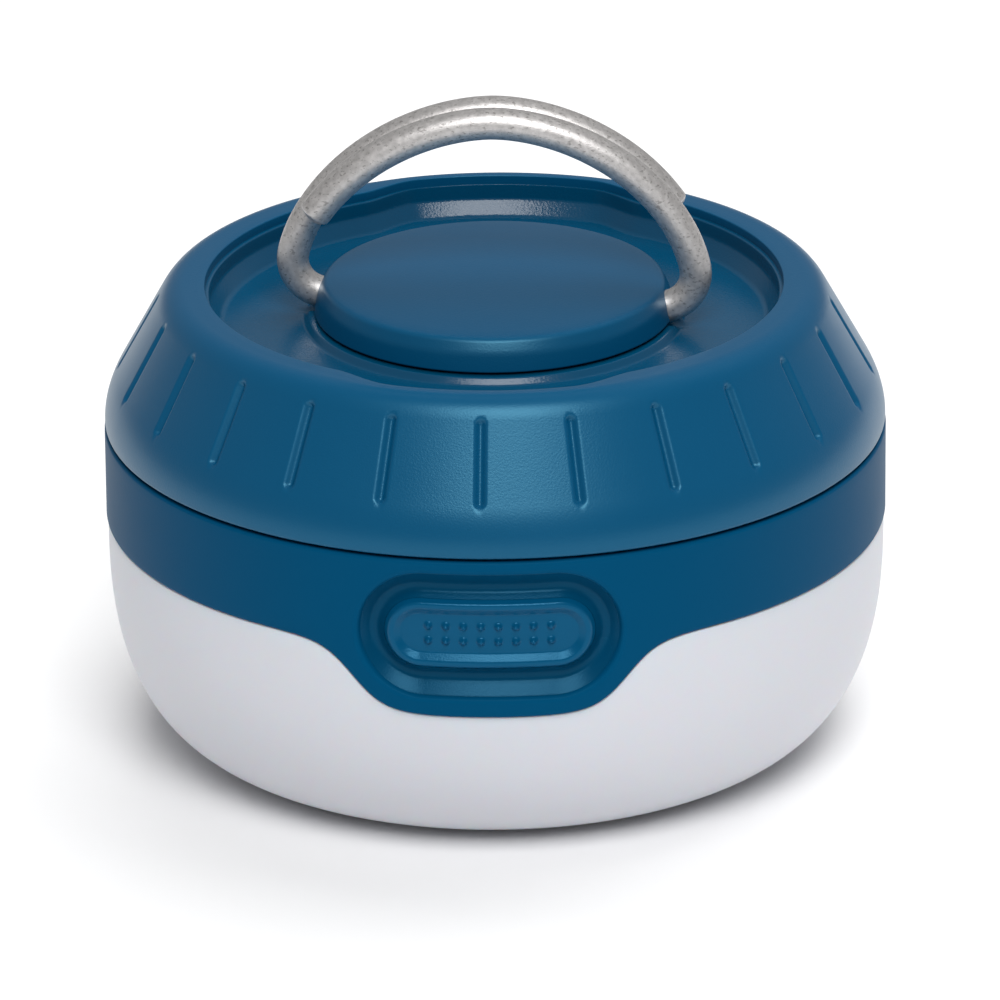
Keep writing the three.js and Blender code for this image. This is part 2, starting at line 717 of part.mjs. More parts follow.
function gripRing() {
  const bottom = SEAM_Z + SEAM_GAP / 2;
  const cornerZ = SIDE.z - (CAP_RADIUS - SIDE.radius) / SIDE.taper;
  const shoulderZ = RIM_Z - 1.6;
  const lipBottom = RIM_Z - RING_LIP;
  const foot = [sideRadius(SIDE_FOOT_Z, 0), SIDE_FOOT_Z];
  const shoulder = [sideRadius(shoulderZ, 0), shoulderZ];
  const ring = turned([
    [CAP_RADIUS - 0.3, bottom],
    ...curved([CAP_RADIUS, bottom + 0.3], [CAP_RADIUS, cornerZ], foot, 3),
    ...curved(shoulder, [sideRadius(RIM_Z, 0), RIM_Z], [RIM_FLAT_RADIUS, RIM_Z], 4),
    [RIM_INNER_RADIUS, RIM_Z],
    [RIM_INNER_RADIUS, lipBottom],
    [sideRadius(lipBottom, RING_WALL), lipBottom],
    [sideRadius(SIDE_FOOT_Z, RING_WALL), SIDE_FOOT_Z],
    [CAP_RADIUS - RING_WALL, bottom],
  ]);
  const halfFacet = 180 / SEGMENTS;
  const notch = raised(notchedCircle(RIM_INNER_RADIUS), lipBottom - 0.3, RIM_Z + 1);
  return without(ring.rotate([0, 0, halfFacet]), [notch, ...grooves()]);
}

// The grip grooves run up the cone.
function grooves() {
  const end = (z) => new THREE.Vector3(0, -sideRadius(z, -GROOVE_LIFT), z);
  const cutters = [];
  for (let i = 0; i < GROOVES; i += 1) {
    const turn = new THREE.Matrix4().makeRotationZ((i * 2 * Math.PI) / GROOVES);
    const path = [end(GROOVE_START), end(GROOVE_STOP)].map((point) => point.applyMatrix4(turn));
    cutters.push(wire(path, GROOVE_RADIUS, 1, 3));
  }
  return cutters;
}

// The dish with the threaded skirt: the cap's own body under the grip ring.
function capDish() {
  const inset = RING_WALL + FIT_GAP;
  const topZ = RIM_Z - RING_LIP - FIT_GAP;
  const seatZ = NECK_TOP_Z + 1.2;
  const body = turned([
    [CAP_RADIUS - inset, SKIRT_BOTTOM_Z],
    [sideRadius(SIDE_FOOT_Z, inset), SIDE_FOOT_Z],
    [sideRadius(topZ, inset), topZ],
    [DISH_WALL_RADIUS, topZ],
    [DISH_WALL_RADIUS, DISH_FLOOR_Z + 0.9],
    [DISH_WALL_RADIUS - 0.5, DISH_FLOOR_Z + 0.25],
    [DISH_WALL_RADIUS - 1.3, DISH_FLOOR_Z],
    [COLLAR_RADIUS + 0.8, DISH_FLOOR_Z],
    [COLLAR_RADIUS, COLLAR_Z],
    [0, COLLAR_Z],
    [0, DISH_UNDER_Z],
    [DISH_WALL_RADIUS, DISH_UNDER_Z],
    [NECK_RADIUS - 0.9, seatZ],
    [NECK_RADIUS + 0.2, seatZ],
    [NECK_RADIUS + 0.2, seatZ - 0.5],
    [SKIRT_INNER_RADIUS, seatZ - 1.2],
    [SKIRT_INNER_RADIUS, SKIRT_BOTTOM_Z],
  ]);
  const notch = raised(notchedCircle(DISH_WALL_RADIUS - NOTCH_DEPTH * 0.2), COLLAR_Z + 0.1, RIM_Z);
  const hollows = [1, -1].map((side) => pinChannel(side, WIRE_RADIUS + 0.5, HUB_RADIUS + 2.4));
  const holes = hubScrewPlaces.map(([x, y]) =>
    bar("z", SCREW.shaftRadius + PIN_GAP, DISH_UNDER_Z - 1, COLLAR_Z + 1, [x, y, 0], 10),
  );
  const dish = without(body, [notch, ...hollows, ...holes]);
  const step = THREAD_LEAD / THREAD_STARTS;
  return joined([
    dish,
    ...threadLugs(CAP_LUG_RADIUS, SKIRT_INNER_RADIUS + 0.3, NECK_LUG_Z - step / 2),
  ]);
}

// The room that one hook's pin needs. side is 1 for the front hook, -1 for the rear one.
function pinChannel(side, radius, reach) {
  const centre = [0, -side * PIVOT_Y, PIVOT_Z];
  const headStart = PIN_START - PIN_GAP;
  const headEnd = PIN_START + PIN_HEAD.length + PIN_GAP;
  const along = (from, to) => (side > 0 ? [from, to] : [-to, -from]);
  return joined([
    bar("x", radius, ...along(PIN_START, reach), centre, 14),
    bar("x", PIN_HEAD.radius + PIN_GAP, ...along(headStart, headEnd), centre, 14),
    bar("x", radius + PIN_MOUTH.flare, ...along(PIN_MOUTH.start, reach - 0.1), centre, 14),
  ]);
}

function hubDisc() {
  const edge = HUB_RADIUS - 1.4;
  const disc = turned([
    [0, HUB_BASE_Z],
    [HUB_RADIUS - 0.1, HUB_BASE_Z],
    [HUB_RADIUS, HUB_BASE_Z + 0.15],
    [HUB_RADIUS - 0.35, HUB_EDGE_Z - 1.1],
    [HUB_RADIUS - 0.75, HUB_EDGE_Z - 0.35],
    [edge, HUB_EDGE_Z],
    [edge / 2, HUB_CROWN_Z - 0.1],
    [0, HUB_CROWN_Z],
  ]);
  const channels = [1, -1].map((side) => pinChannel(side, WIRE_RADIUS + PIN_GAP, HUB_RADIUS + 2));
  const slots = [1, -1].map((side) => {
    const half = WIRE_RADIUS + PIN_GAP;
    const xs = side > 0 ? [PIN_START, FAR] : [-FAR, -PIN_START];
    const y = -side * PIVOT_Y;
    return block([xs[0], y - half, HUB_BASE_Z - 1], [xs[1], y + half, PIVOT_Z]);
  });
  const holes = hubScrewPlaces.map(([x, y]) =>
    bar("z", SCREW.shaftRadius + PIN_GAP, HUB_BASE_Z - 1, HUB_CROWN_Z - 0.7, [x, y, 0], 10),
  );
  return without(disc, [...channels, ...slots, ...holes]);
}

// A wire hook: its pin, the elbow, and the arch down to the free end.
// side is 1 for the front hook, which enters the hub from +X, and -1 for the rear one.
function hook(side) {
  const points = [[PIN_START + 0.3, 0]];
  const { halfWidth, height, centre, power } = ARCH;
  const elbowEnd = ELBOW_TURN - 90;
  const foot = ELBOW_RADIUS * (1 + Math.sin(degrees(elbowEnd)));
  const footX = halfWidth * (1 - ((foot - centre) / height) ** power) ** (1 / power);
  const elbowX = footX - ELBOW_RADIUS * Math.cos(degrees(elbowEnd));
  points.push([elbowX - 5, 0], [elbowX - 2, 0]);
  for (let turn = 0; turn < ELBOW_TURN; turn += ELBOW_TURN / 6) {
    points.push([
      elbowX + ELBOW_RADIUS * Math.sin(degrees(turn)),
      ELBOW_RADIUS * (1 - Math.cos(degrees(turn))),
    ]);
  }
  const angleAt = (h) => Math.asin(((h - centre) / height) ** (power / 2));
  const footAngle = angleAt(foot);
  const tipAngle = Math.PI - angleAt(HOOK_TIP_HEIGHT);
  const archPieces = 18;
  for (let i = 0; i <= archPieces; i += 1) {
    const angle = THREE.MathUtils.lerp(footAngle, tipAngle, i / archPieces);
    const across = Math.sign(Math.cos(angle)) * Math.abs(Math.cos(angle)) ** (2 / power);
    points.push([halfWidth * across, centre + height * Math.sin(angle) ** (2 / power)]);
  }
  const path = points.map(
    ([x, h]) => new THREE.Vector3(side * x, -side * PIVOT_Y, PIVOT_Z + h),
  );
  const [headFrom, headTo] =
    side > 0 ? [PIN_START, PIN_START + PIN_HEAD.length] : [-PIN_START - PIN_HEAD.length, -PIN_START];
  const head = bar("x", PIN_HEAD.radius, headFrom, headTo, [0, -side * PIVOT_Y, PIVOT_Z], 12);
  return wire(path, WIRE_RADIUS, 44, 6).add(head);
}

function capGasket() {
  const bottom = NECK_TOP_Z + FIT_GAP;
  return turned(
    [
      [NECK_INNER_RADIUS, bottom],
      [NECK_RADIUS - 0.1, bottom],
      [NECK_RADIUS - 0.1, bottom + 0.65],
      [NECK_INNER_RADIUS, bottom + 0.65],
    ],
    INNER_SEGMENTS,
  );
}

// ---------------------------------------------------------------- assembly

const lantern = new THREE.Group();
const cap = new THREE.Group();
cap.rotation.z = degrees(CAP_CLOCKING);
lantern.add(cap);

function place(group, name, body, material) {
  const mesh = new THREE.Mesh(surface(body), material);
  mesh.name = name;
  group.add(mesh);
}

place(lantern, "diffuser", diffuser(), MATERIALS.frosted);
place(lantern, "band_shell", bandShell(), MATERIALS.bandBlue);
place(lantern, "button_boot", buttonBoot(), MATERIALS.buttonBlue);
place(lantern, "button_pad", buttonPad(), MATERIALS.buttonBlue);
place(lantern, "switch_plunger", switchPlunger(), MATERIALS.switchBlack);
place(lantern, "switch_body", switchBody(), MATERIALS.switchBlack);
place(lantern, "switch_board", switchBoard(), MATERIALS.board);
place(lantern, "lead_positive", lead(-2.5), MATERIALS.leadRed);
place(lantern, "lead_negative", lead(2.5), MATERIALS.leadBlack);
place(lantern, "battery_tray", batteryTray(), MATERIALS.greyPlastic);
place(lantern, "main_board", mainBoard(), MATERIALS.board);
place(lantern, "reflector_plate", reflectorPlate(), MATERIALS.white);
ledPlaces.forEach((spot, i) => {
  place(lantern, `led_${i + 1}`, led(spot), MATERIALS.led);
});
boardScrewPlaces.forEach((spot, i) => {
  const body = screw(spot, REFLECTOR_Z - FIT_GAP, 6.2);
  place(lantern, `board_screw_${i + 1}`, body, MATERIALS.steel);
});

// The cells lie head to tail, so that two bridges and two end plates put them in series.
cellRows.forEach((row, i) => {
  const direction = i === 1 ? -1 : 1;
  place(lantern, `cell_${i + 1}`, cell(row, direction), MATERIALS.cell);
  place(lantern, `contact_spring_${i + 1}`, spring(row, -direction), MATERIALS.nickel);
});
const [rowA, rowB, rowC] = cellRows;
place(lantern, "contact_bridge_right", contactPlate([rowA, rowB], 1, rowA), MATERIALS.nickel);
place(lantern, "contact_end_right", contactPlate([rowC], 1, rowC), MATERIALS.nickel);
place(lantern, "contact_bridge_left", contactPlate([rowB, rowC], -1, rowB), MATERIALS.nickel);
place(lantern, "contact_end_left", contactPlate([rowA], -1, null), MATERIALS.nickel);

place(lantern, "cap_gasket", capGasket(), MATERIALS.rubber);
place(cap, "cap_grip_ring", gripRing(), MATERIALS.capBlue);
place(cap, "cap_dish", capDish(), MATERIALS.dishBlue);
place(cap, "hub_disc", hubDisc(), MATERIALS.capBlue);
hubScrewPlaces.forEach((spot, i) => {
  const body = screw(spot, DISH_UNDER_Z - FIT_GAP, 4.2);
  place(cap, `hub_screw_${i + 1}`, body, MATERIALS.steel);
});
place(cap, "hook_front", hook(1), MATERIALS.steel);
place(cap, "hook_rear", hook(-1), MATERIALS.steel);

export default lantern;
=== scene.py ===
"""The looks of a compact camping lantern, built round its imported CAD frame.

Sizes in this script are millimetres on the frame's own axes, +Z up with the button towards -Y. Points turn
into metres when they become a mesh. A bearing is an angle round the Z axis, 0 at the front and growing
towards +X. The cap, the hub and the hooks are drawn square to the axes and then turned by CAP_TURN.
"""

import json
import math

import bmesh
import bpy
import numpy as np
from mathutils import Matrix, Vector


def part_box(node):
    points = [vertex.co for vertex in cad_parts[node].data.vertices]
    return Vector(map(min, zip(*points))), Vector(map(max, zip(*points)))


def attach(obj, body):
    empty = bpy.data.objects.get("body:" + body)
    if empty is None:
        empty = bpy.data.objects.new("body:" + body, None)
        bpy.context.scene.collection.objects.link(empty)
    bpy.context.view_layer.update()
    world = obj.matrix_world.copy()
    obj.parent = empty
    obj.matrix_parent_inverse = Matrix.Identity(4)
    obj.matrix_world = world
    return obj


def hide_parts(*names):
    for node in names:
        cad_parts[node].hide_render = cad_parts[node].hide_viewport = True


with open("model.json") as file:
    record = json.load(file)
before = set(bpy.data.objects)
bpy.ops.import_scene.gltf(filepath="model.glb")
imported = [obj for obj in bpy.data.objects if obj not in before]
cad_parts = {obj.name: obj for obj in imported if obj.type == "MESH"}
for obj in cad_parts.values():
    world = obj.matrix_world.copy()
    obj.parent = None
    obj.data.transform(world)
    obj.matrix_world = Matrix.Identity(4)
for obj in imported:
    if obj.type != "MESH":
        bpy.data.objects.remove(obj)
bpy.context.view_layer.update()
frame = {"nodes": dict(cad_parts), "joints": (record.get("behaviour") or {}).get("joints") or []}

MM = 0.001

# ---------------------------------------------------------------- sizes taken from the frame


def corners(node):
    """A CAD node's lowest and highest corner, in millimetres."""
    low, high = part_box(node)
    return np.array(low) / MM, np.array(high) / MM


def joint(name):
    """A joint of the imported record, by name."""
    return next(j for j in frame["joints"] if j["name"] == name)


BAND_LOW, BAND_HIGH = corners("band_shell")
RING_LOW, RING_HIGH = corners("cap_grip_ring")
HUB_LOW, HUB_HIGH = corners("hub_disc")
DIFFUSER_HIGH = corners("diffuser")[1]
PAD_LOW, PAD_HIGH = corners("button_pad")
FRONT_AXIS = joint("hook_front_fold")["axis"]
PIVOT_Z = joint("hook_front_fold")["pos_m"][2] / MM
PIVOT_Y = -joint("hook_front_fold")["pos_m"][1] / MM
CAP_TURN = math.atan2(FRONT_AXIS[1], FRONT_AXIS[0])

BAND_RADIUS = BAND_HIGH[0]
BAND_TOP = BAND_HIGH[2]
BAND_WALL = 1.2
TONGUE_DROP = 5.85
TONGUE_MIDDLE = 11.62
TONGUE_SOFTNESS = 1.38
TONGUE_END = 21.0
BAND_BOTTOM = BAND_LOW[2] + TONGUE_DROP
BAND_EDGE = 0.28

SEAM = (BAND_TOP + RING_LOW[2]) / 2
RIM = RING_HIGH[2]
CAP_RADIUS = BAND_RADIUS - 0.05
CONE = {"radius": 32.4, "height": SEAM + 3.4, "taper": 0.553}

DISH_FLOOR = SEAM + 8.8
COLLAR_TOP = SEAM + 9.4
WIRE_RADIUS = 1.35

# ---------------------------------------------------------------- mesh tools


def smoothstep(low, high, value):
    share = np.clip((value - low) / (high - low), 0, 1)
    return share * share * (3 - 2 * share)


def unit(vector):
    return vector / np.linalg.norm(vector)


def rounded(profile, steps=6, closed=False):
    """Rounds a profile's corners: each entry is (radius, height) or (radius, height, fillet)."""
    points = []
    count = len(profile)
    for i, corner in enumerate(profile):
        here = np.array(corner[:2], float)
        fillet = corner[2] if len(corner) > 2 else 0
        if fillet == 0 or (not closed and i in (0, count - 1)):
            points.append(here)
            continue
        before = np.array(profile[i - 1][:2], float) - here
        after = np.array(profile[(i + 1) % count][:2], float) - here
        a, b = unit(before), unit(after)
        half = math.acos(np.clip(a @ b, -1, 1)) / 2
        reach = min(fillet / math.tan(half), 0.49 * np.linalg.norm(before), 0.49 * np.linalg.norm(after))
        radius = reach * math.tan(half)
        centre = here + unit(a + b) * radius / math.sin(half)
        start, end = here + a * reach - centre, here + b * reach - centre
        sweep = math.atan2(start[0] * end[1] - start[1] * end[0], start @ end)
        for k in range(steps + 1):
            turn = sweep * k / steps
            cos, sin = math.cos(turn), math.sin(turn)
            turned = (start[0] * cos - start[1] * sin, start[0] * sin + start[1] * cos)
            points.append(centre + np.array(turned))
    return np.array(points)


def quadratic(start, control, end, steps):
    """Points of a quadratic curve, both ends included."""
    t = np.linspace(0, 1, steps + 1)[:, None]
    start, control, end = (np.array(p, float) for p in (start, control, end))
    return (1 - t) ** 2 * start + 2 * t * (1 - t) * control + t**2 * end


def refined(points, longest, closed=False):
    """The same outline with extra points, so that no piece of it is longer than that."""
    points = np.asarray(points, float)
    if closed:
        points = np.vstack([points, points[:1]])
    fine = [points[:1]]
    for a, b in zip(points[:-1], points[1:]):
        pieces = max(1, math.ceil(np.linalg.norm(b - a) / longest))
        t = np.linspace(0, 1, pieces + 1)[1:, None]
        fine.append(a + (b - a) * t)
    fine = np.vstack(fine)
    return fine[:-1] if closed else fine


def spun(profile, bearings, shape=None):
    """A grid of points: the profile at each bearing. shape may change radius and height by bearing."""
    radius = np.repeat(np.asarray(profile)[:, 0][:, None], len(bearings), 1)
    height = np.repeat(np.asarray(profile)[:, 1][:, None], len(bearings), 1)
    bearing = np.repeat(np.asarray(bearings)[None, :], len(profile), 0)
    if shape is not None:
        radius, height = shape(radius, height, bearing)
    return np.stack([radius * np.sin(bearing), -radius * np.cos(bearing), height], -1)


def even(count):
    """Evenly spaced angles all the way round."""
    return np.arange(count) * 2 * math.pi / count


def grid_faces(rows, columns, close_rows=False, close_columns=False):
    """Quads between the neighbours of a grid."""
    r, c = np.meshgrid(
        np.arange(rows if close_rows else rows - 1),
        np.arange(columns if close_columns else columns - 1),
        indexing="ij",
    )
    below, right = (r + 1) % rows, (c + 1) % columns
    quads = [r * columns + c, r * columns + right, below * columns + right, below * columns + c]
    return np.stack(quads, -1).reshape(-1, 4)


class Part:
    """Points and faces collected from several grids, welded where they meet."""

    def __init__(self):
        self.points = []
        self.faces = []
        self.count = 0

    def add(self, points, faces):
        points = np.asarray(points, float).reshape(-1, 3)
        self.points.append(points)
        self.faces.extend((np.asarray(face) + self.count).tolist() for face in faces)
        self.count += len(points)
        return self

    def grid(self, points, close_rows=False, close_columns=False):
        return self.add(points, grid_faces(*points.shape[:2], close_rows, close_columns))

    def mesh(self, name, turn=0.0, weld=0.002):
        data = bmesh.new()
        points = np.vstack(self.points)
        vertices = [data.verts.new(p) for p in points]
        for face in self.faces:
            if len(set(face)) > 2:
                data.faces.new([vertices[i] for i in face])
        bmesh.ops.remove_doubles(data, verts=data.verts, dist=weld)
        bmesh.ops.dissolve_degenerate(data, dist=weld / 2, edges=data.edges)
        bmesh.ops.recalc_face_normals(data, faces=data.faces)
        data.transform(Matrix.Rotation(turn, 4, "Z"))
        data.transform(Matrix.Scale(MM, 4))
        mesh = bpy.data.meshes.new(name)
        data.to_mesh(mesh)
        data.free()
        return mesh


def smoothed(mesh, sharp=40):
    """Smooth shading, broken at edges sharper than that many degrees."""
    mesh.polygons.foreach_set("use_smooth", [True] * len(mesh.polygons))
    mesh.set_sharp_from_angle(angle=math.radians(sharp))
    return mesh


def piece(name, mesh, material, body, slot, *nodes, sharp=40):
    """A finished piece that rides on a body, takes a material and stands for CAD nodes. The slot argument is
    not used.
    """
    smoothed(mesh, sharp)
    thing = bpy.data.objects.new(name, mesh)
    bpy.context.scene.collection.objects.link(thing)
    mesh.materials.clear()
    mesh.materials.append(material)
    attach(thing, body)
    if nodes:
        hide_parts(*nodes)
    return thing


def cut(mesh, *cutters):
    """A mesh with other meshes taken out of it."""
    body = bpy.data.objects.new("cut_body", mesh)
    bpy.context.scene.collection.objects.link(body)
    tools = []
    for cutter in cutters:
        tool = bpy.data.objects.new("cut_tool", cutter)
        bpy.context.scene.collection.objects.link(tool)
        tools.append(tool)
        change = body.modifiers.new("cut", "BOOLEAN")
        change.operation = "DIFFERENCE"
        change.solver = "EXACT"
        change.object = tool
    bpy.context.view_layer.update()
    result = bpy.data.meshes.new_from_object(body.evaluated_get(bpy.context.evaluated_depsgraph_get()))
    for thing in [body, *tools]:
        bpy.data.objects.remove(thing)
    return result


# ---------------------------------------------------------------- materials


def nodes_of(material):
    material.use_nodes = True
    tree = material.node_tree
    return tree, tree.nodes["Principled BSDF"]


def finish(name, color, roughness, grain=0.0, grain_size=0.12, mottle=0.05, rough_swing=0.06, cloud_size=11,
           **sockets):
    """A moulded or metal finish: mottled colour, uneven roughness and a fine grain, all in object space."""
    material = bpy.data.materials.new(name)
    tree, shader = nodes_of(material)
    place = tree.nodes.new("ShaderNodeTexCoord")
    cloud = tree.nodes.new("ShaderNodeTexNoise")
    cloud.inputs["Scale"].default_value = 1 / (cloud_size * MM)
    cloud.inputs["Detail"].default_value = 4
    tree.links.new(place.outputs["Object"], cloud.inputs["Vector"])
    tint = tree.nodes.new("ShaderNodeMix")
    tint.data_type = "RGBA"
    tint.inputs["A"].default_value = (*[c * (1 - mottle) for c in color], 1)
    tint.inputs["B"].default_value = (*[min(1, c * (1 + mottle)) for c in color], 1)
    tree.links.new(cloud.outputs["Fac"], tint.inputs["Factor"])
    tree.links.new(tint.outputs["Result"], shader.inputs["Base Color"])
    swing = tree.nodes.new("ShaderNodeMapRange")
    swing.inputs["To Min"].default_value = max(0.02, roughness - rough_swing)
    swing.inputs["To Max"].default_value = min(1, roughness + rough_swing)
    tree.links.new(cloud.outputs["Fac"], swing.inputs["Value"])
    tree.links.new(swing.outputs["Result"], shader.inputs["Roughness"])
    if grain:
        fine = tree.nodes.new("ShaderNodeTexNoise")
        fine.inputs["Scale"].default_value = 1 / (grain_size * MM)
        fine.inputs["Detail"].default_value = 2
        tree.links.new(place.outputs["Object"], fine.inputs["Vector"])
        bump = tree.nodes.new("ShaderNodeBump")
        bump.inputs["Strength"].default_value = grain
        bump.inputs["Distance"].default_value = 0.02 * MM
        tree.links.new(fine.outputs["Fac"], bump.inputs["Height"])
        tree.links.new(bump.outputs["Normal"], shader.inputs["Normal"])
    for socket, value in sockets.items():
        shader.inputs[socket.replace("_", " ")].default_value = value
    return material


def speckled(material, color, scale, rarity):
    """Adds scattered small dark pits to a finish, a little longer along X."""
    tree, shader = nodes_of(material)
    place = next(n for n in tree.nodes if n.bl_idname == "ShaderNodeTexCoord")
    base = shader.inputs["Base Color"].links[0].from_socket
    stretch = tree.nodes.new("ShaderNodeMapping")
    stretch.inputs["Scale"].default_value = (0.55, 1, 1)
    tree.links.new(place.outputs["Object"], stretch.inputs["Vector"])
    spots = tree.nodes.new("ShaderNodeTexNoise")
    spots.inputs["Scale"].default_value = scale
    spots.inputs["Detail"].default_value = 3
    tree.links.new(stretch.outputs["Vector"], spots.inputs["Vector"])
    edge = tree.nodes.new("ShaderNodeMapRange")
    edge.inputs["From Min"].default_value = rarity
    edge.inputs["From Max"].default_value = rarity + 0.07
    tree.links.new(spots.outputs["Fac"], edge.inputs["Value"])
    dark = tree.nodes.new("ShaderNodeMix")
    dark.data_type = "RGBA"
    dark.inputs["B"].default_value = (*color, 1)
    tree.links.new(edge.outputs["Result"], dark.inputs["Factor"])
    tree.links.new(base, dark.inputs["A"])
    tree.links.new(dark.outputs["Result"], shader.inputs["Base Color"])
    return material


BLUE_SHINE = (0.30, 0.78, 1.0, 1)
RUBBER_SHINE = (0.15, 0.50, 0.75, 1)
CAP_BLUE = finish("cap_blue", (0.0, 0.064, 0.152), 0.33, grain=0.6, grain_size=0.16, mottle=0.03,
                  Specular_IOR_Level=0.66, Specular_Tint=BLUE_SHINE)
DISH_BLUE = finish("dish_blue", (0.0, 0.058, 0.130), 0.20, grain=1.0, grain_size=0.20, mottle=0.03,
                   Specular_IOR_Level=0.38)
BAND_BLUE = finish("band_blue", (0.0, 0.062, 0.147), 0.46, grain=0.35, grain_size=0.16, mottle=0.03,
                   Specular_IOR_Level=0.06, Specular_Tint=BLUE_SHINE)
BUTTON_BLUE = finish("button_blue", (0.0, 0.064, 0.150), 0.24, grain=0.80, grain_size=0.14, mottle=0.03,
                     Specular_IOR_Level=0.58, Specular_Tint=RUBBER_SHINE)
# The boot's base is darker than the band's blue: painted shade for the trough round the button.
BOOT_BLUE_SHADED = finish("boot_blue_painted_shade", (0.0, 0.047, 0.110), 0.26, grain=0.80, grain_size=0.14, mottle=0.03,
                   Specular_IOR_Level=0.32, Specular_Tint=RUBBER_SHINE)
FROSTED = finish("frosted_diffuser", (0.65, 0.655, 0.705), 0.42, grain=0.10, mottle=0.01,
                 Specular_IOR_Level=0.3, Subsurface_Weight=0.3, Subsurface_Scale=0.005)
STEEL = finish("hook_steel", (0.60, 0.58, 0.57), 0.42, grain=1.0, grain_size=0.12, mottle=0.34,
               rough_swing=0.10, cloud_size=0.45, Metallic=0.75)
speckled(STEEL, (0.36, 0.345, 0.335), 4600, 0.59)
SCREW_STEEL = finish("screw_steel", (0.55, 0.54, 0.52), 0.35, grain=0.2, Metallic=1.0)
NICKEL = finish("nickel_contact", (0.62, 0.60, 0.55), 0.28, grain=0.15, Metallic=1.0)
WHITE = finish("white_plastic", (0.82, 0.82, 0.80), 0.45, grain=0.2)
GREY = finish("grey_plastic", (0.12, 0.125, 0.13), 0.50, grain=0.4)
BLACK = finish("black_plastic", (0.015, 0.015, 0.016), 0.40, grain=0.3)
RUBBER = finish("seal_rubber", (0.02, 0.02, 0.021), 0.65, grain=0.5)
BOARD = finish("circuit_board", (0.012, 0.13, 0.05), 0.30, grain=0.2)
LED = finish("led_lens", (0.85, 0.70, 0.22), 0.25, grain=0.1)
CELL = finish("cell_jacket", (0.055, 0.06, 0.075), 0.32, grain=0.1, Metallic=0.4)
RED = finish("red_sleeve", (0.42, 0.02, 0.012), 0.40, grain=0.2)
DARK = finish("black_sleeve", (0.015, 0.015, 0.015), 0.40, grain=0.2)

# ---------------------------------------------------------------- diffuser


def tongue_bottom(arc):
    """Height of the band's lower edge at an arc length from the front."""
    return BAND_BOTTOM - TONGUE_DROP / (1 + np.exp((np.abs(arc) - TONGUE_MIDDLE) / TONGUE_SOFTNESS))


def band_lower_edge(inset):
    """The band's lower edge, moved up into the band by an inset, as (arc, height) from -pi to pi."""
    front = np.linspace(-TONGUE_END - 1, TONGUE_END + 1, 161)
    edge = np.stack([front, tongue_bottom(front)], -1)
    along = np.gradient(edge, axis=0)
    along /= np.linalg.norm(along, axis=1)[:, None]
    return edge + inset * np.stack([-along[:, 1], along[:, 0]], -1)


DIFFUSER = {"flat": 20.5, "radius": 32.95, "full": 19.0, "power": 2.5, "wall": 1.7}
DIFFUSER_NECK = {"outer": 31.6, "inner": 30.55}


def diffuser_radius(height, inset=0.0):
    """Radius of the rounded side at a height."""
    flat = DIFFUSER["flat"] - 0.6 * inset
    reach = DIFFUSER["radius"] - inset - flat
    share = np.clip((height - inset) / (DIFFUSER["full"] - inset), 0, 1)
    power = DIFFUSER["power"]
    return flat + reach * (1 - (1 - share) ** power) ** (1 / power)


def diffuser():
    gap = 0.04
    edge_round = 0.15
    wall = DIFFUSER["wall"]
    bearings = even(360)
    arcs = (np.mod(bearings + math.pi, 2 * math.pi) - math.pi) * BAND_RADIUS
    lower = band_lower_edge(-gap)
    tops = np.interp(arcs, lower[:, 0], lower[:, 1])
    in_tongue = np.abs(arcs) < TONGUE_END
    necks = np.where(in_tongue, tops, DIFFUSER_HIGH[2])
    rows = [(np.full_like(tops, r), np.zeros_like(tops)) for r in (0.0, 5, 10, 15, 18.5, 20.2)]
    for share in np.linspace(0, 1, 49)[1:]:
        z = (tops - edge_round) * share**1.9
        rows.append((diffuser_radius(z), z))
    for turn in np.radians([30, 60, 90]):
        z = tops - edge_round + edge_round * math.sin(turn)
        rows.append((diffuser_radius(tops) - edge_round * (1 - math.cos(turn)), z))
    neck_outer = np.full_like(tops, DIFFUSER_NECK["outer"])
    neck_inner = np.full_like(tops, DIFFUSER_NECK["inner"])
    rows += [(neck_outer, tops), (neck_outer, necks), (neck_inner, necks), (neck_inner, tops)]
    for share in np.linspace(1, 0, 25):
        z = wall + (np.minimum(tops, DIFFUSER["full"]) - 0.4 - wall) * share**1.9
        rows.append((diffuser_radius(z, wall), z))
    rows.append((np.zeros_like(tops), np.full_like(tops, wall)))
    radius = np.stack([r for r, _ in rows])
    height = np.stack([z for _, z in rows])
    points = np.stack([radius * np.sin(bearings), -radius * np.cos(bearings), height], -1)
    mesh = Part().grid(points, close_columns=True).mesh("diffuser_shell")
    piece("diffuser_shell", mesh, FROSTED, "casing", "frosted_diffuser", "diffuser", sharp=50)


# ---------------------------------------------------------------- band and button

RECESS = {"width": 21.7, "height": 10.84}
PAD = {"width": PAD_HIGH[0] - PAD_LOW[0], "height": PAD_HIGH[2] - PAD_LOW[2], "dish": 0.45, "chamfer": 0.5}
BUTTON_Z = (PAD_LOW[2] + PAD_HIGH[2]) / 2
BOOT_RADIUS = 31.5


def on_band(x, z, radius):
    """Points at a radius in front of the axis, over (x, z) of the front view."""
    return np.stack([x, -np.sqrt(radius**2 - x**2), z], -1)


def stadium(size, offset=0.0, straight=24, arc=20):
    """A stadium's outline in the front view, with each point's outward direction."""
    radius = size["height"] / 2
    reach = size["width"] / 2 - radius
    bearings, middles = [], []
    for side, start in ((1, -90), (-1, 90)):
        turns = np.radians(start + np.linspace(0, 180, arc + 1))
        bearings.append(turns)
        middles.append(np.full(arc + 1, side * reach))
        bearings.append(np.full(straight - 1, turns[-1]))
        middles.append(side * reach - side * 2 * reach * np.arange(1, straight) / straight)
    turn, middle = np.concatenate(bearings), np.concatenate(middles)
    normal = np.stack([np.cos(turn), np.sin(turn)], -1)
    outline = np.stack([middle, np.full_like(middle, BUTTON_Z)], -1) + (radius + offset) * normal
    return outline, normal


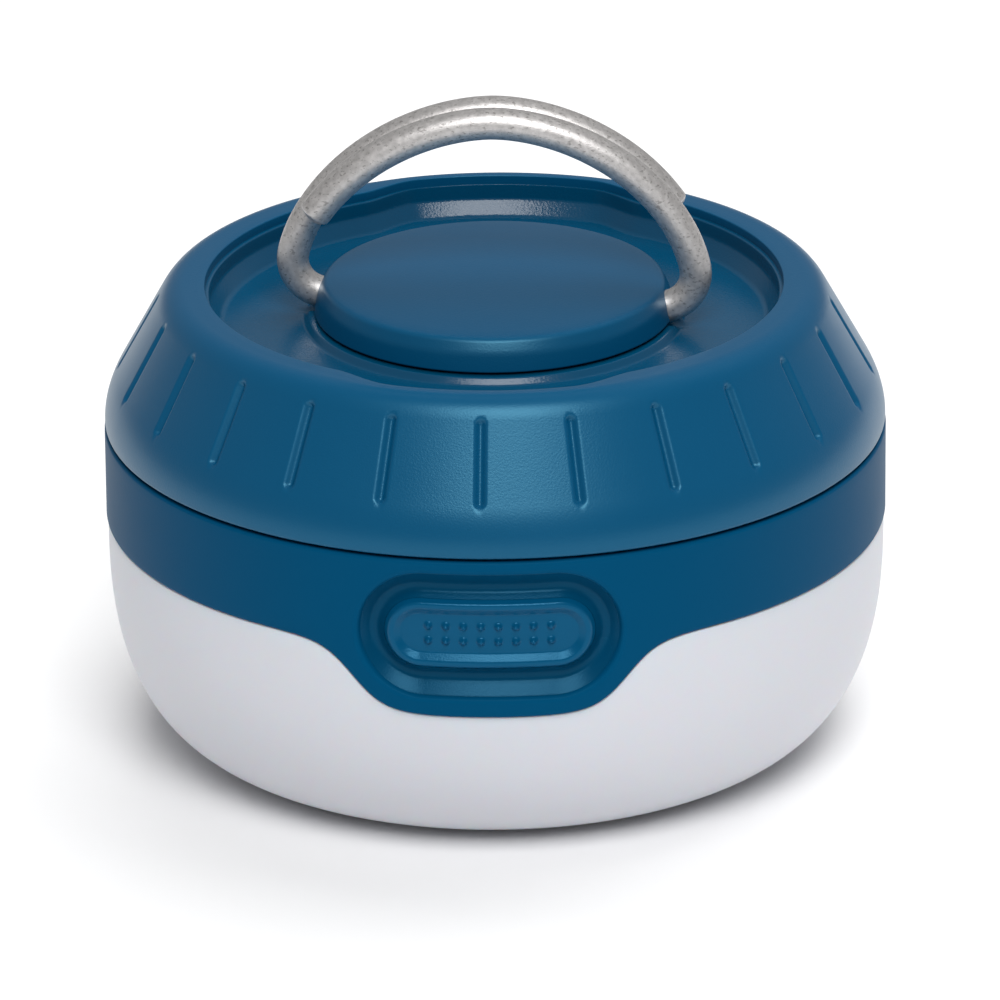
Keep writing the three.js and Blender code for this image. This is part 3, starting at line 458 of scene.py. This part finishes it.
def ring_rows(size, profile, straight, arc):
    """Rings round a stadium: each profile entry is (offset from its outline, radius from the axis)."""
    rows = []
    for offset, radius in profile:
        outline, _ = stadium(size, offset, straight, arc)
        rows.append(on_band(outline[:, 0], outline[:, 1], radius))
    return np.stack(rows)


DOTS = {"columns": 8, "rows": 2, "pitch": 1.45, "row_pitch": 1.3, "radius": 0.45, "height": 0.45}


def dots(x, z):
    """How far the button's dots stand out of its face."""
    rise = np.zeros_like(x)
    for row in range(DOTS["rows"]):
        for column in range(DOTS["columns"]):
            dx = x - (column - (DOTS["columns"] - 1) / 2) * DOTS["pitch"]
            dz = z - BUTTON_Z - (row - (DOTS["rows"] - 1) / 2) * DOTS["row_pitch"]
            away = np.clip(np.hypot(dx, dz) / DOTS["radius"], 0, 1)
            rise = np.maximum(rise, DOTS["height"] * (1 + np.cos(math.pi * away)) / 2)
    return rise


def button_pad():
    half = PAD["height"] / 2
    face = -PAD_LOW[1] - 0.29
    sunk = face - PAD["dish"]
    inner = [(-half + step, sunk) for step in np.arange(0, half - 1.55, 0.06)]
    border = rounded([(-1.55, sunk), (-1.35, sunk, 0.6), (-0.72, face, 0.4), (-0.3, face, 0.3),
                      (0.0, face - PAD["chamfer"], 0.1), (0.0, face - 2.8)], 7)
    rows = ring_rows(PAD, [*inner, *border], 160, 44)
    out = dots(rows[..., 0], rows[..., 2])
    rows[..., 1] -= np.where(np.abs(rows[..., 2] - BUTTON_Z) < half - 1.4, out, 0)
    part = Part().grid(rows, close_columns=True).add(rows[-1], [np.arange(rows.shape[1])])
    mesh = part.mesh("pad", weld=0.004)
    piece("pad", mesh, BUTTON_BLUE, "button", "button_blue", "button_pad", sharp=60)


def button_boot():
    """The trough between the pad and the band: a foot at the pad, a round floor and a lip at the band."""
    gap = (RECESS["height"] - PAD["height"]) / 2
    lip = BOOT_RADIUS + 1.05
    foot = BOOT_RADIUS + 0.74
    floor = BOOT_RADIUS + 0.15
    profile = rounded([(0.025, BOOT_RADIUS - 0.8), (0.025, foot), (0.55, floor, 0.6),
                       (gap - 1.15, floor, 0.7), (gap - 0.1, lip, 0.25), (gap - 0.02, lip + 0.05),
                       (gap - 0.02, BOOT_RADIUS - 0.8)], 8)
    rows = []
    for offset, radius in profile:
        share = offset / gap
        size = {k: PAD[k] + (RECESS[k] - PAD[k]) * share for k in RECESS}
        outline, _ = stadium(size, 0.0, 60, 40)
        rows.append(on_band(outline[:, 0], outline[:, 1], radius))
    mesh = Part().grid(np.stack(rows), close_rows=True, close_columns=True).mesh("boot")
    piece("boot", mesh, BOOT_BLUE_SHADED, "casing", "band_blue", "button_boot", sharp=60)


def band():
    """The outer sheet is drawn flat, as (arc, height, depth), and its edges are rolled over at the end."""
    hole_start = 0.55
    side_arc = TONGUE_END - 1
    side_x = BAND_RADIUS * math.sin(side_arc / BAND_RADIUS)
    top = BAND_TOP - BAND_EDGE
    lower = band_lower_edge(BAND_EDGE)
    lower_x = BAND_RADIUS * np.sin(lower[:, 0] / BAND_RADIUS)
    reach = RECESS["width"] / 2 - RECESS["height"] / 2
    half = RECESS["height"] / 2
    side_rows = np.linspace(top, np.interp(side_x, lower_x, lower[:, 1]), 11)

    # The directions in which the sheet leaves one round end of the hole.
    corner_up = math.atan2(top - BUTTON_Z, side_x - reach)
    to_sides = [math.atan2(z - BUTTON_Z, side_x - reach) for z in side_rows]
    fan = np.concatenate([
        np.linspace(math.pi / 2, corner_up, 14)[:-1],
        to_sides,
        np.linspace(to_sides[-1], -math.pi / 2, 44)[1:],
    ])
    straight = np.linspace(-reach, reach, 25)[1:-1]
    starts = [(reach, a) for a in fan] + [(x, -math.pi / 2) for x in straight[::-1]]
    starts += [(-reach, math.pi - a) for a in fan[::-1]] + [(x, math.pi / 2) for x in straight]

    def limit(middle, angle):
        """Distance from the hole's middle line to the sheet's edge in one direction."""
        t = np.linspace(half, 30, 4000)
        x, z = middle + t * math.cos(angle), BUTTON_Z + t * math.sin(angle)
        inside = (np.abs(x) <= side_x) & (z <= top) & (z >= np.interp(x, lower_x, lower[:, 1]))
        return t[np.argmin(inside)] if not inside.all() else t[-1]

    near = half + hole_start
    rows = []
    for middle, angle in starts:
        far = limit(middle, angle)
        distances = near + (far - near) * np.linspace(0, 1, 9) ** 1.3
        ring = [(middle + d * math.cos(angle), BUTTON_Z + d * math.sin(angle)) for d in distances]
        rows.append(ring)
    patch = np.array(rows)
    last = patch[:, -1]
    on_top = last[:, 1] > top - 0.02
    last[on_top, 1] = top
    on_side = np.abs(last[:, 0]) > side_x - 0.02
    last[on_side, 0] = np.sign(last[on_side, 0]) * side_x
    snapped = np.argmin(np.abs(last[on_side, 1][:, None] - side_rows[None, :]), 1)
    last[on_side, 1] = side_rows[snapped]
    under = ~on_top & ~on_side
    last[under, 1] = np.interp(last[under, 0], lower_x, lower[:, 1])
    patch_arc = BAND_RADIUS * np.arcsin(patch[..., 0] / BAND_RADIUS)
    sheet = Part().grid(np.stack([patch_arc, patch[..., 1], np.zeros_like(patch_arc)], -1), close_rows=True)

    back_arcs = np.linspace(side_arc, 2 * math.pi * BAND_RADIUS - side_arc, 181)
    arc, height = np.meshgrid(back_arcs, side_rows, indexing="ij")
    sheet.grid(np.stack([arc, height, np.zeros_like(arc)], -1))
    mesh = wrapped_shell(sheet, hole_start)
    piece("band", mesh, BAND_BLUE, "casing", "band_blue", "band_shell", sharp=45)


def wrapped_shell(sheet, hole_start):
    """Rolls a flat sheet round the axis, turns its edges over and gives it the band's thickness."""
    data = bmesh.new()
    around = 2 * math.pi * BAND_RADIUS
    points = np.vstack(sheet.points)
    vertices = [data.verts.new((BAND_RADIUS * math.sin(a / BAND_RADIUS),
                                -BAND_RADIUS * math.cos(a / BAND_RADIUS), z)) for a, z, _ in points]
    for face in sheet.faces:
        data.faces.new([vertices[i] for i in face])
    bmesh.ops.remove_doubles(data, verts=data.verts, dist=0.01)
    bmesh.ops.recalc_face_normals(data, faces=data.faces)
    flat = {v: np.array([BAND_RADIUS * math.atan2(v.co.x, -v.co.y), v.co.z]) for v in data.verts}
    shell = list(data.faces)

    def placed(arc_height, depth):
        radius = BAND_RADIUS - depth
        bearing = arc_height[0] / BAND_RADIUS
        return (radius * math.sin(bearing), -radius * math.cos(bearing), arc_height[1])

    turns = np.radians([18, 36, 54, 72, 90])
    edge_roll = [(BAND_EDGE * math.sin(t), BAND_EDGE * (1 - math.cos(t))) for t in turns]
    edge_roll.append((BAND_EDGE, BAND_WALL))
    lip = [(0.10, 0.0), (0.16, 0.015), (0.22, 0.04), (0.30, 0.05), (0.36, 0.075), (0.42, 0.13), (0.475, 0.22),
           (0.52, 0.34), (hole_start, 0.5), (hole_start, BAND_WALL)]
    inner = {}
    loops = boundary_loops(data)
    for loop in loops:
        flats = np.array([flat[v] for v in loop])
        ahead, behind = np.roll(flats, -1, 0), np.roll(flats, 1, 0)
        step_on = np.stack([(ahead[:, 0] - flats[:, 0] + around / 2) % around - around / 2,
                            ahead[:, 1] - flats[:, 1]], -1)
        step_back = np.stack([(flats[:, 0] - behind[:, 0] + around / 2) % around - around / 2,
                              flats[:, 1] - behind[:, 1]], -1)
        along = step_on / np.linalg.norm(step_on, axis=1)[:, None]
        along = along + step_back / np.linalg.norm(step_back, axis=1)[:, None]
        along /= np.linalg.norm(along, axis=1)[:, None]
        outward = np.stack([along[:, 1], -along[:, 0]], -1)
        is_hole = np.ptp(flats[:, 0]) < around / 2
        profile = lip if is_hole else edge_roll
        previous = loop
        for offset, depth in profile:
            ring = [data.verts.new(placed(f + offset * n, depth)) for f, n in zip(flats, outward)]
            for i in range(len(loop)):
                j = (i + 1) % len(loop)
                data.faces.new([previous[j], previous[i], ring[i], ring[j]])
            previous = ring
        inner.update(dict(zip(loop, previous)))
    for vertex, arc_height in flat.items():
        if vertex not in inner:
            inner[vertex] = data.verts.new(placed(arc_height, BAND_WALL))
    for face in shell:
        data.faces.new([inner[v] for v in reversed(face.verts)])
    bmesh.ops.recalc_face_normals(data, faces=data.faces)
    data.transform(Matrix.Scale(MM, 4))
    mesh = bpy.data.meshes.new("band")
    data.to_mesh(mesh)
    data.free()
    return mesh


def boundary_loops(data):
    """Each open edge of a mesh as an ordered list of vertices, with the mesh on its left."""
    following = {}
    for edge in data.edges:
        if len(edge.link_faces) == 1:
            corner = next(c for c in edge.link_faces[0].loops if c.edge is edge)
            following[corner.vert] = corner.link_loop_next.vert
    loops = []
    while following:
        start, vertex = following.popitem()
        loop = [start]
        while vertex is not start:
            loop.append(vertex)
            vertex = following.pop(vertex)
        loops.append(loop)
    return loops


# ---------------------------------------------------------------- cap

NOTCH = {"depth": 1.35, "full": math.radians(17), "end": math.radians(30)}


def notch_share(bearing):
    """1 in the middle of the front and back finger notches, 0 outside them."""
    half_turn = np.mod(bearing, math.pi)
    off = np.minimum(half_turn, math.pi - half_turn)
    return 1 - smoothstep(NOTCH["full"], NOTCH["end"], off)


def cone_radius(height, inset=0.0):
    return CONE["radius"] - CONE["taper"] * (height - CONE["height"]) - 1.14 * inset


GROOVES = {"count": 24, "low": SEAM + 4.07, "high": SEAM + 10.87, "half_width": 0.62, "depth": 0.42}


def groove_depth(radius, height, bearing):
    """Depth of the grip grooves below the cone."""
    pitch = 2 * math.pi / GROOVES["count"]
    across = radius * (np.mod(bearing + pitch / 2, pitch) - pitch / 2)
    slope = math.hypot(1, CONE["taper"])
    half = GROOVES["half_width"]
    low, high = GROOVES["low"] + half / slope, GROOVES["high"] - half / slope
    past = np.maximum(np.maximum(low - height, height - high), 0) * slope
    away = np.clip(np.hypot(across, past) / half, 0, 1)
    return GROOVES["depth"] * (1 + np.cos(math.pi * away)) / 2


def groove_bearings():
    """Bearings crowded across each groove."""
    pitch = 2 * math.pi / GROOVES["count"]
    fine = np.radians(np.linspace(-1.5, 1.5, 15))
    coarse = np.linspace(math.radians(1.5), pitch - math.radians(1.5), 9)[1:-1]
    sector = np.concatenate([fine, coarse])
    return np.concatenate([i * pitch + sector for i in range(GROOVES["count"])])


def grip_ring():
    inner_rim, flat_end, wall, lip = 24.4, 26.0, 1.5, 0.9
    notch_reach = 26.8
    bottom = RING_LOW[2]
    corner = CONE["height"] - (CAP_RADIUS - CONE["radius"]) / CONE["taper"]
    foot, shoulder, lip_bottom = CONE["height"] + 0.8, RIM - 1.6, RIM - lip
    side_heights = np.concatenate([
        np.arange(foot, foot + 0.9, 0.09),
        np.arange(foot + 0.9, shoulder - 0.55, 0.22),
        np.arange(shoulder - 0.55, shoulder, 0.09),
    ])[1:]
    outside = np.vstack([
        rounded([(CAP_RADIUS - 0.8, bottom), (CAP_RADIUS, bottom, 0.3), (CAP_RADIUS, bottom + 0.6)], 6)[1:-1],
        quadratic((CAP_RADIUS, bottom + 0.35), (CAP_RADIUS, corner), (cone_radius(foot), foot), 12),
        np.stack([cone_radius(side_heights), side_heights], -1),
        quadratic((cone_radius(shoulder), shoulder), (cone_radius(RIM), RIM), (flat_end, RIM), 14),
    ])
    inside = rounded([
        (flat_end, RIM), (inner_rim, RIM, 0.12), (inner_rim, lip_bottom, 0.1),
        (cone_radius(lip_bottom, wall), lip_bottom), (cone_radius(foot, wall), foot),
        (CAP_RADIUS - wall, bottom), (CAP_RADIUS - 0.8, bottom),
    ], 4)[1:]
    profile = refined(np.vstack([outside, inside]), 0.8, closed=True)

    def shape(radius, height, bearing):
        outer = (height > GROOVES["low"] - 0.2) & (height < RIM - 0.9) & (radius > cone_radius(height) - 0.1)
        sunk = np.where(outer, groove_depth(radius, height, bearing), 0)
        slope = math.hypot(1, CONE["taper"])
        radius = radius - sunk / slope
        height = height - sunk * CONE["taper"] / slope
        share = np.clip((notch_reach - radius) / (notch_reach - inner_rim), 0, 1)
        share = share * (height > lip_bottom - 0.05)
        return radius + NOTCH["depth"] * notch_share(bearing) * share, height

    points = spun(profile, groove_bearings(), shape)
    mesh = Part().grid(points, close_rows=True, close_columns=True).mesh("grip_ring", CAP_TURN)
    piece("grip_ring", mesh, CAP_BLUE, "cap", "cap_blue", "cap_grip_ring", sharp=50)


HOLLOW = {"radius": 1.85, "end": 17.6}


def hollow_bed(x, y):
    """Height of the two round-bottomed hollows under the elbows, which run along the pins."""
    bed = np.full_like(x, np.inf)
    for side in (1, -1):
        past = np.maximum(side * x - (HOLLOW["end"] - HOLLOW["radius"]), 0)
        depth = HOLLOW["radius"] ** 2 - (y + side * PIVOT_Y) ** 2 - past**2
        inside = (depth > 0) & (side * x > 12)
        bed = np.where(inside, PIVOT_Z - np.sqrt(np.maximum(depth, 0)), bed)
    return bed


def dish():
    wall_radius, collar_radius = 24.05, 15.5
    inset = 1.8
    top = RIM - 0.75
    foot = CONE["height"] + 0.8
    under = SEAM + 7.4
    seat = SEAM + 5.1
    bottom = SEAM + 0.25
    notch = 1.48
    profile = rounded([
        (CAP_RADIUS - inset, bottom), (cone_radius(foot, inset), foot), (cone_radius(top, inset), top, 0.1),
        (wall_radius, top, 0.16), (wall_radius, DISH_FLOOR + 1.4, 0.6), (wall_radius - 1.0, DISH_FLOOR, 0.7),
        (collar_radius + 0.55, DISH_FLOOR, 0.4), (collar_radius + 0.1, COLLAR_TOP, 0.25), (14.0, COLLAR_TOP),
        (0, COLLAR_TOP), (0, under), (24.0, under), (28.0, seat), (29.1, seat), (29.1, seat - 0.5),
        (29.8, seat - 1.2), (29.8, bottom),
    ], 7)
    profile = refined(profile, 0.45)

    def shape(radius, height, bearing):
        lip_end = cone_radius(top, inset)
        lip_share = np.clip((lip_end - radius) / (lip_end - wall_radius), 0, 1)
        near_wall = smoothstep(21.0, 23.0, radius) * lip_share * (height > DISH_FLOOR - 0.1)
        radius = radius + notch * notch_share(bearing) * near_wall
        x, y = radius * np.sin(bearing), -radius * np.cos(bearing)
        on_floor = (height > DISH_FLOOR - 0.05) & (radius < 21) & (radius > 12.5)
        return radius, np.where(on_floor, np.minimum(height, hollow_bed(x, y)), height)

    points = spun(profile, even(400), shape)
    part = Part().grid(points, close_rows=True, close_columns=True)
    mesh = part.mesh("dish", CAP_TURN)
    piece("dish", mesh, DISH_BLUE, "cap", "dish_blue", "cap_dish", sharp=50)


CHANNEL = {"start": 3.0, "flare": 12.6, "end": 17.5, "gap": 0.06}


def hub():
    radius = HUB_HIGH[0]
    base, crown = HUB_LOW[2], HUB_HIGH[2]
    edge_radius, fall = 13.6, 0.45
    dome = [(edge_radius * t, crown - fall * t**2) for t in np.linspace(0, 1, 16)]
    flank = rounded([dome[-1], (radius - 0.88, crown - fall - 0.1, 0.9), (radius - 0.33, base + 1.6, 2.5),
                     (radius, base, 0.14), (radius - 0.6, base), (0, base)], 9)
    profile = np.vstack([dome[:-1], flank])
    mesh = Part().grid(spun(profile, even(288)), close_columns=True).mesh("hub", CAP_TURN)
    cutters = []
    for side in (1, -1):
        cutters.append(channel_part(side).mesh("channel", CAP_TURN))
        low = np.array([CHANNEL["start"] + 0.2, -WIRE_RADIUS - 0.05, base - 1])
        high = np.array([CHANNEL["end"], WIRE_RADIUS + 0.05, PIVOT_Z])
        cutters.append(box_part(low, high, side).mesh("slot", CAP_TURN))
    piece("hub", cut(mesh, *cutters), CAP_BLUE, "cap", "cap_blue", "hub_disc", sharp=38)


def channel_part(side):
    """The round channel of one hook's pin, which widens where the wire turns up."""
    bends = np.array([13.6, 14.2, 14.8, 15.4, 16.0])
    along = np.concatenate([[CHANNEL["start"], CHANNEL["flare"]], bends, [CHANNEL["end"]]])
    rise = np.maximum(along - HOOK["elbow_x"], 0) ** 2 / (2 * HOOK["elbow"])
    widths = WIRE_RADIUS + CHANNEL["gap"] + rise
    turns = even(40)
    x, a = np.meshgrid(side * along, turns, indexing="ij")
    w = np.repeat(widths[:, None], len(turns), 1)
    tube = np.stack([x, -side * PIVOT_Y + w * np.cos(a), PIVOT_Z + w * np.sin(a)], -1)
    ends = [np.arange(len(turns))]
    return Part().grid(tube, close_columns=True).add(tube[0], ends).add(tube[-1], ends)


def box_part(low, high, side):
    """The slot under one hook's pin: a box, mirrored for the other side and set on that hook's line."""
    points = [
        (side * x, -side * PIVOT_Y + y, z)
        for x in (low[0], high[0])
        for y in (low[1], high[1])
        for z in (low[2], high[2])
    ]
    faces = [(0, 1, 3, 2), (4, 6, 7, 5), (0, 4, 5, 1), (2, 3, 7, 6), (0, 2, 6, 4), (1, 5, 7, 3)]
    return Part().add(points, faces)


# ---------------------------------------------------------------- hooks

HOOK = {"half_width": 17.25, "height": 14.7, "centre": 1.6, "power": 1.84, "elbow": 3.0, "turn": 99.0,
        "tip": 8.2, "pin": 3.7, "shift": 0.08}
HOOK["foot"] = HOOK["elbow"] * (1 + math.sin(math.radians(HOOK["turn"] - 90)))
HOOK["foot_x"] = HOOK["half_width"] * (
    1 - ((HOOK["foot"] - HOOK["centre"]) / HOOK["height"]) ** HOOK["power"]) ** (1 / HOOK["power"])
HOOK["elbow_x"] = HOOK["foot_x"] - HOOK["elbow"] * math.cos(math.radians(HOOK["turn"] - 90))


def hook_path():
    """The middle line of a hook in its own plane: x from the hub's middle, height above the hinge."""
    power = HOOK["power"]
    turn = np.radians(np.linspace(0, HOOK["turn"], 26))
    bend = HOOK["elbow"]
    elbow = np.stack([HOOK["elbow_x"] + bend * np.sin(turn), bend * (1 - np.cos(turn))], -1)

    def angle_at(height):
        return math.asin(((height - HOOK["centre"]) / HOOK["height"]) ** (power / 2))

    sweep = np.linspace(angle_at(HOOK["foot"]), math.pi - angle_at(HOOK["tip"]), 120)[1:]
    across = np.sign(np.cos(sweep)) * np.abs(np.cos(sweep)) ** (2 / power)
    height = HOOK["centre"] + HOOK["height"] * np.sin(sweep) ** (2 / power)
    arch = np.stack([HOOK["half_width"] * across, height], -1)
    pin = np.array([[HOOK["pin"], 0], [8, 0], [HOOK["elbow_x"] - 0.5, 0]])
    path = np.vstack([pin, elbow, arch])
    for _ in range(6):
        path[4:-1] = (path[3:-2] + 2 * path[4:-1] + path[5:]) / 4
    return path


# The rounded tip and the head on the pin, as (distance past the wire's end, radius).
TIP = ((0.06, 1.33), (0.14, 1.27), (0.24, 1.16), (0.36, 1.0), (0.43, 0.9), (0.47, 0.8), (0.5, 0.0))
HEAD = ((0.3, 0.0), (0.3, 1.6), (0.2, 1.8), (0.1, 1.85), (-0.45, 1.85), (-0.55, 1.8), (-0.6, 1.6))


def hook(name, side):
    path = hook_path()
    lean = smoothstep(2.0, 12.0, path[:, 1]) * HOOK["shift"]
    x = side * path[:, 0] + lean
    middle = np.stack([x, np.full_like(x, -side * PIVOT_Y), PIVOT_Z + path[:, 1]], -1)
    along = np.gradient(middle, axis=0)
    along /= np.linalg.norm(along, axis=1)[:, None]
    flat = np.array([0.0, 1.0, 0.0])
    normal = np.cross(along, flat)
    turns = even(36)[:, None]

    def ring(index, step, radius):
        """A circle round the wire, a step further on than one of its points."""
        centre = middle[index] + step * along[index]
        return centre + radius * (np.cos(turns) * normal[index] + np.sin(turns) * flat)

    head = [ring(0, -step, radius) for step, radius in HEAD]
    body = [ring(i, 0.0, WIRE_RADIUS) for i in range(1, len(middle))]
    tip = [ring(-1, step, radius) for step, radius in TIP]
    mesh = Part().grid(np.stack(head + body + tip), close_columns=True).mesh(name + "_wire", CAP_TURN)
    piece(name + "_wire", mesh, STEEL, name, "hook_steel", name, sharp=50)


# ---------------------------------------------------------------- CAD nodes that stay

CARRIED = {
    "switch_plunger": BLACK, "switch_body": BLACK, "switch_board": BOARD, "lead_positive": RED,
    "lead_negative": DARK, "battery_tray": GREY, "main_board": BOARD, "reflector_plate": WHITE,
    "led_1": LED, "led_2": LED, "led_3": LED, "led_4": LED, "board_screw_1": SCREW_STEEL,
    "board_screw_2": SCREW_STEEL, "board_screw_3": SCREW_STEEL,
    "cell_1": CELL, "cell_2": CELL, "cell_3": CELL,
    "contact_spring_1": NICKEL, "contact_spring_2": NICKEL, "contact_spring_3": NICKEL,
    "contact_bridge_right": NICKEL, "contact_end_right": NICKEL, "contact_bridge_left": NICKEL,
    "contact_end_left": NICKEL, "cap_gasket": RUBBER, "hub_screw_1": SCREW_STEEL, "hub_screw_2": SCREW_STEEL,
}


def carry_over():
    for name, material in CARRIED.items():
        node = frame["nodes"][name]
        node.data.materials.clear()
        node.data.materials.append(material)


# ---------------------------------------------------------------- camera, floor and light

VIEW = {"elevation": 21.293, "bearing": 1.1, "distance": 0.90086, "lens": 382.6, "roll": -0.5215}
AIM = Vector((0, 0, SEAM * MM))
SENSOR = 36.0
FRAMING = (0.00483, -0.0847)  # where AIM lies off the middle of the frame, as shares of its width


def camera():
    eye = bpy.data.objects.new("camera", bpy.data.cameras.new("camera"))
    bpy.context.scene.collection.objects.link(eye)
    eye.data.sensor_width = SENSOR
    eye.data.lens = VIEW["lens"]
    eye.data.clip_start, eye.data.clip_end = 0.05, 20
    up, round_z = math.radians(VIEW["elevation"]), math.radians(VIEW["bearing"])
    back = Vector((math.sin(round_z) * math.cos(up), -math.cos(round_z) * math.cos(up), math.sin(up)))
    eye.location = AIM + back * VIEW["distance"]
    facing = (-back).to_track_quat("-Z", "Y").to_matrix()
    per_share = SENSOR / VIEW["lens"]
    aside = Matrix.Rotation(-FRAMING[0] * per_share, 3, "Y") @ Matrix.Rotation(FRAMING[1] * per_share, 3, "X")
    roll = Matrix.Rotation(math.radians(VIEW["roll"]), 3, "Z")
    eye.rotation_mode = "QUATERNION"
    eye.rotation_quaternion = (facing @ roll @ aside).to_quaternion()
    bpy.context.scene.camera = eye


def area_light(name, place, aim, size, power, shows_in_gloss=True):
    """A rectangular lamp, in metres and watts."""
    lamp = bpy.data.lights.new(name, "AREA")
    lamp.shape = "RECTANGLE"
    lamp.size, lamp.size_y = size
    lamp.energy = power
    thing = bpy.data.objects.new(name, lamp)
    bpy.context.scene.collection.objects.link(thing)
    thing.location = place
    thing.visible_glossy = shows_in_gloss
    thing.rotation_mode = "QUATERNION"
    thing.rotation_quaternion = (Vector(aim) - Vector(place)).to_track_quat("-Z", "Y")


def studio():
    reach = 4000
    square = [(-reach, -reach, 0), (reach, -reach, 0), (reach, reach, 0), (-reach, reach, 0)]
    floor = bpy.data.objects.new("floor", Part().add(square, [(0, 1, 2, 3)]).mesh("floor"))
    bpy.context.scene.collection.objects.link(floor)
    floor.data.materials.append(finish("pale_floor", (0.92, 0.92, 0.92), 0.8, mottle=0.0, rough_swing=0.0,
                                       Specular_IOR_Level=0.1))
    world = bpy.data.worlds.new("studio")
    world.use_nodes = True
    background = world.node_tree.nodes["Background"]
    background.inputs["Color"].default_value = (1, 1, 1, 1)
    background.inputs["Strength"].default_value = 0.27
    bpy.context.scene.world = world
    aim = (0, 0, 0.03)
    area_light("key", (0.05, -0.52, 0.68), aim, (0.46, 0.46), 5.2)
    area_light("overhead", (0.16, 0.36, 0.70), aim, (0.8, 0.7), 5.0, shows_in_gloss=False)
    bpy.context.scene.view_settings.view_transform = "Standard"


camera()
studio()
diffuser()
band()
button_boot()
button_pad()
grip_ring()
dish()
hub()
hook("hook_front", 1)
hook("hook_rear", -1)
carry_over()
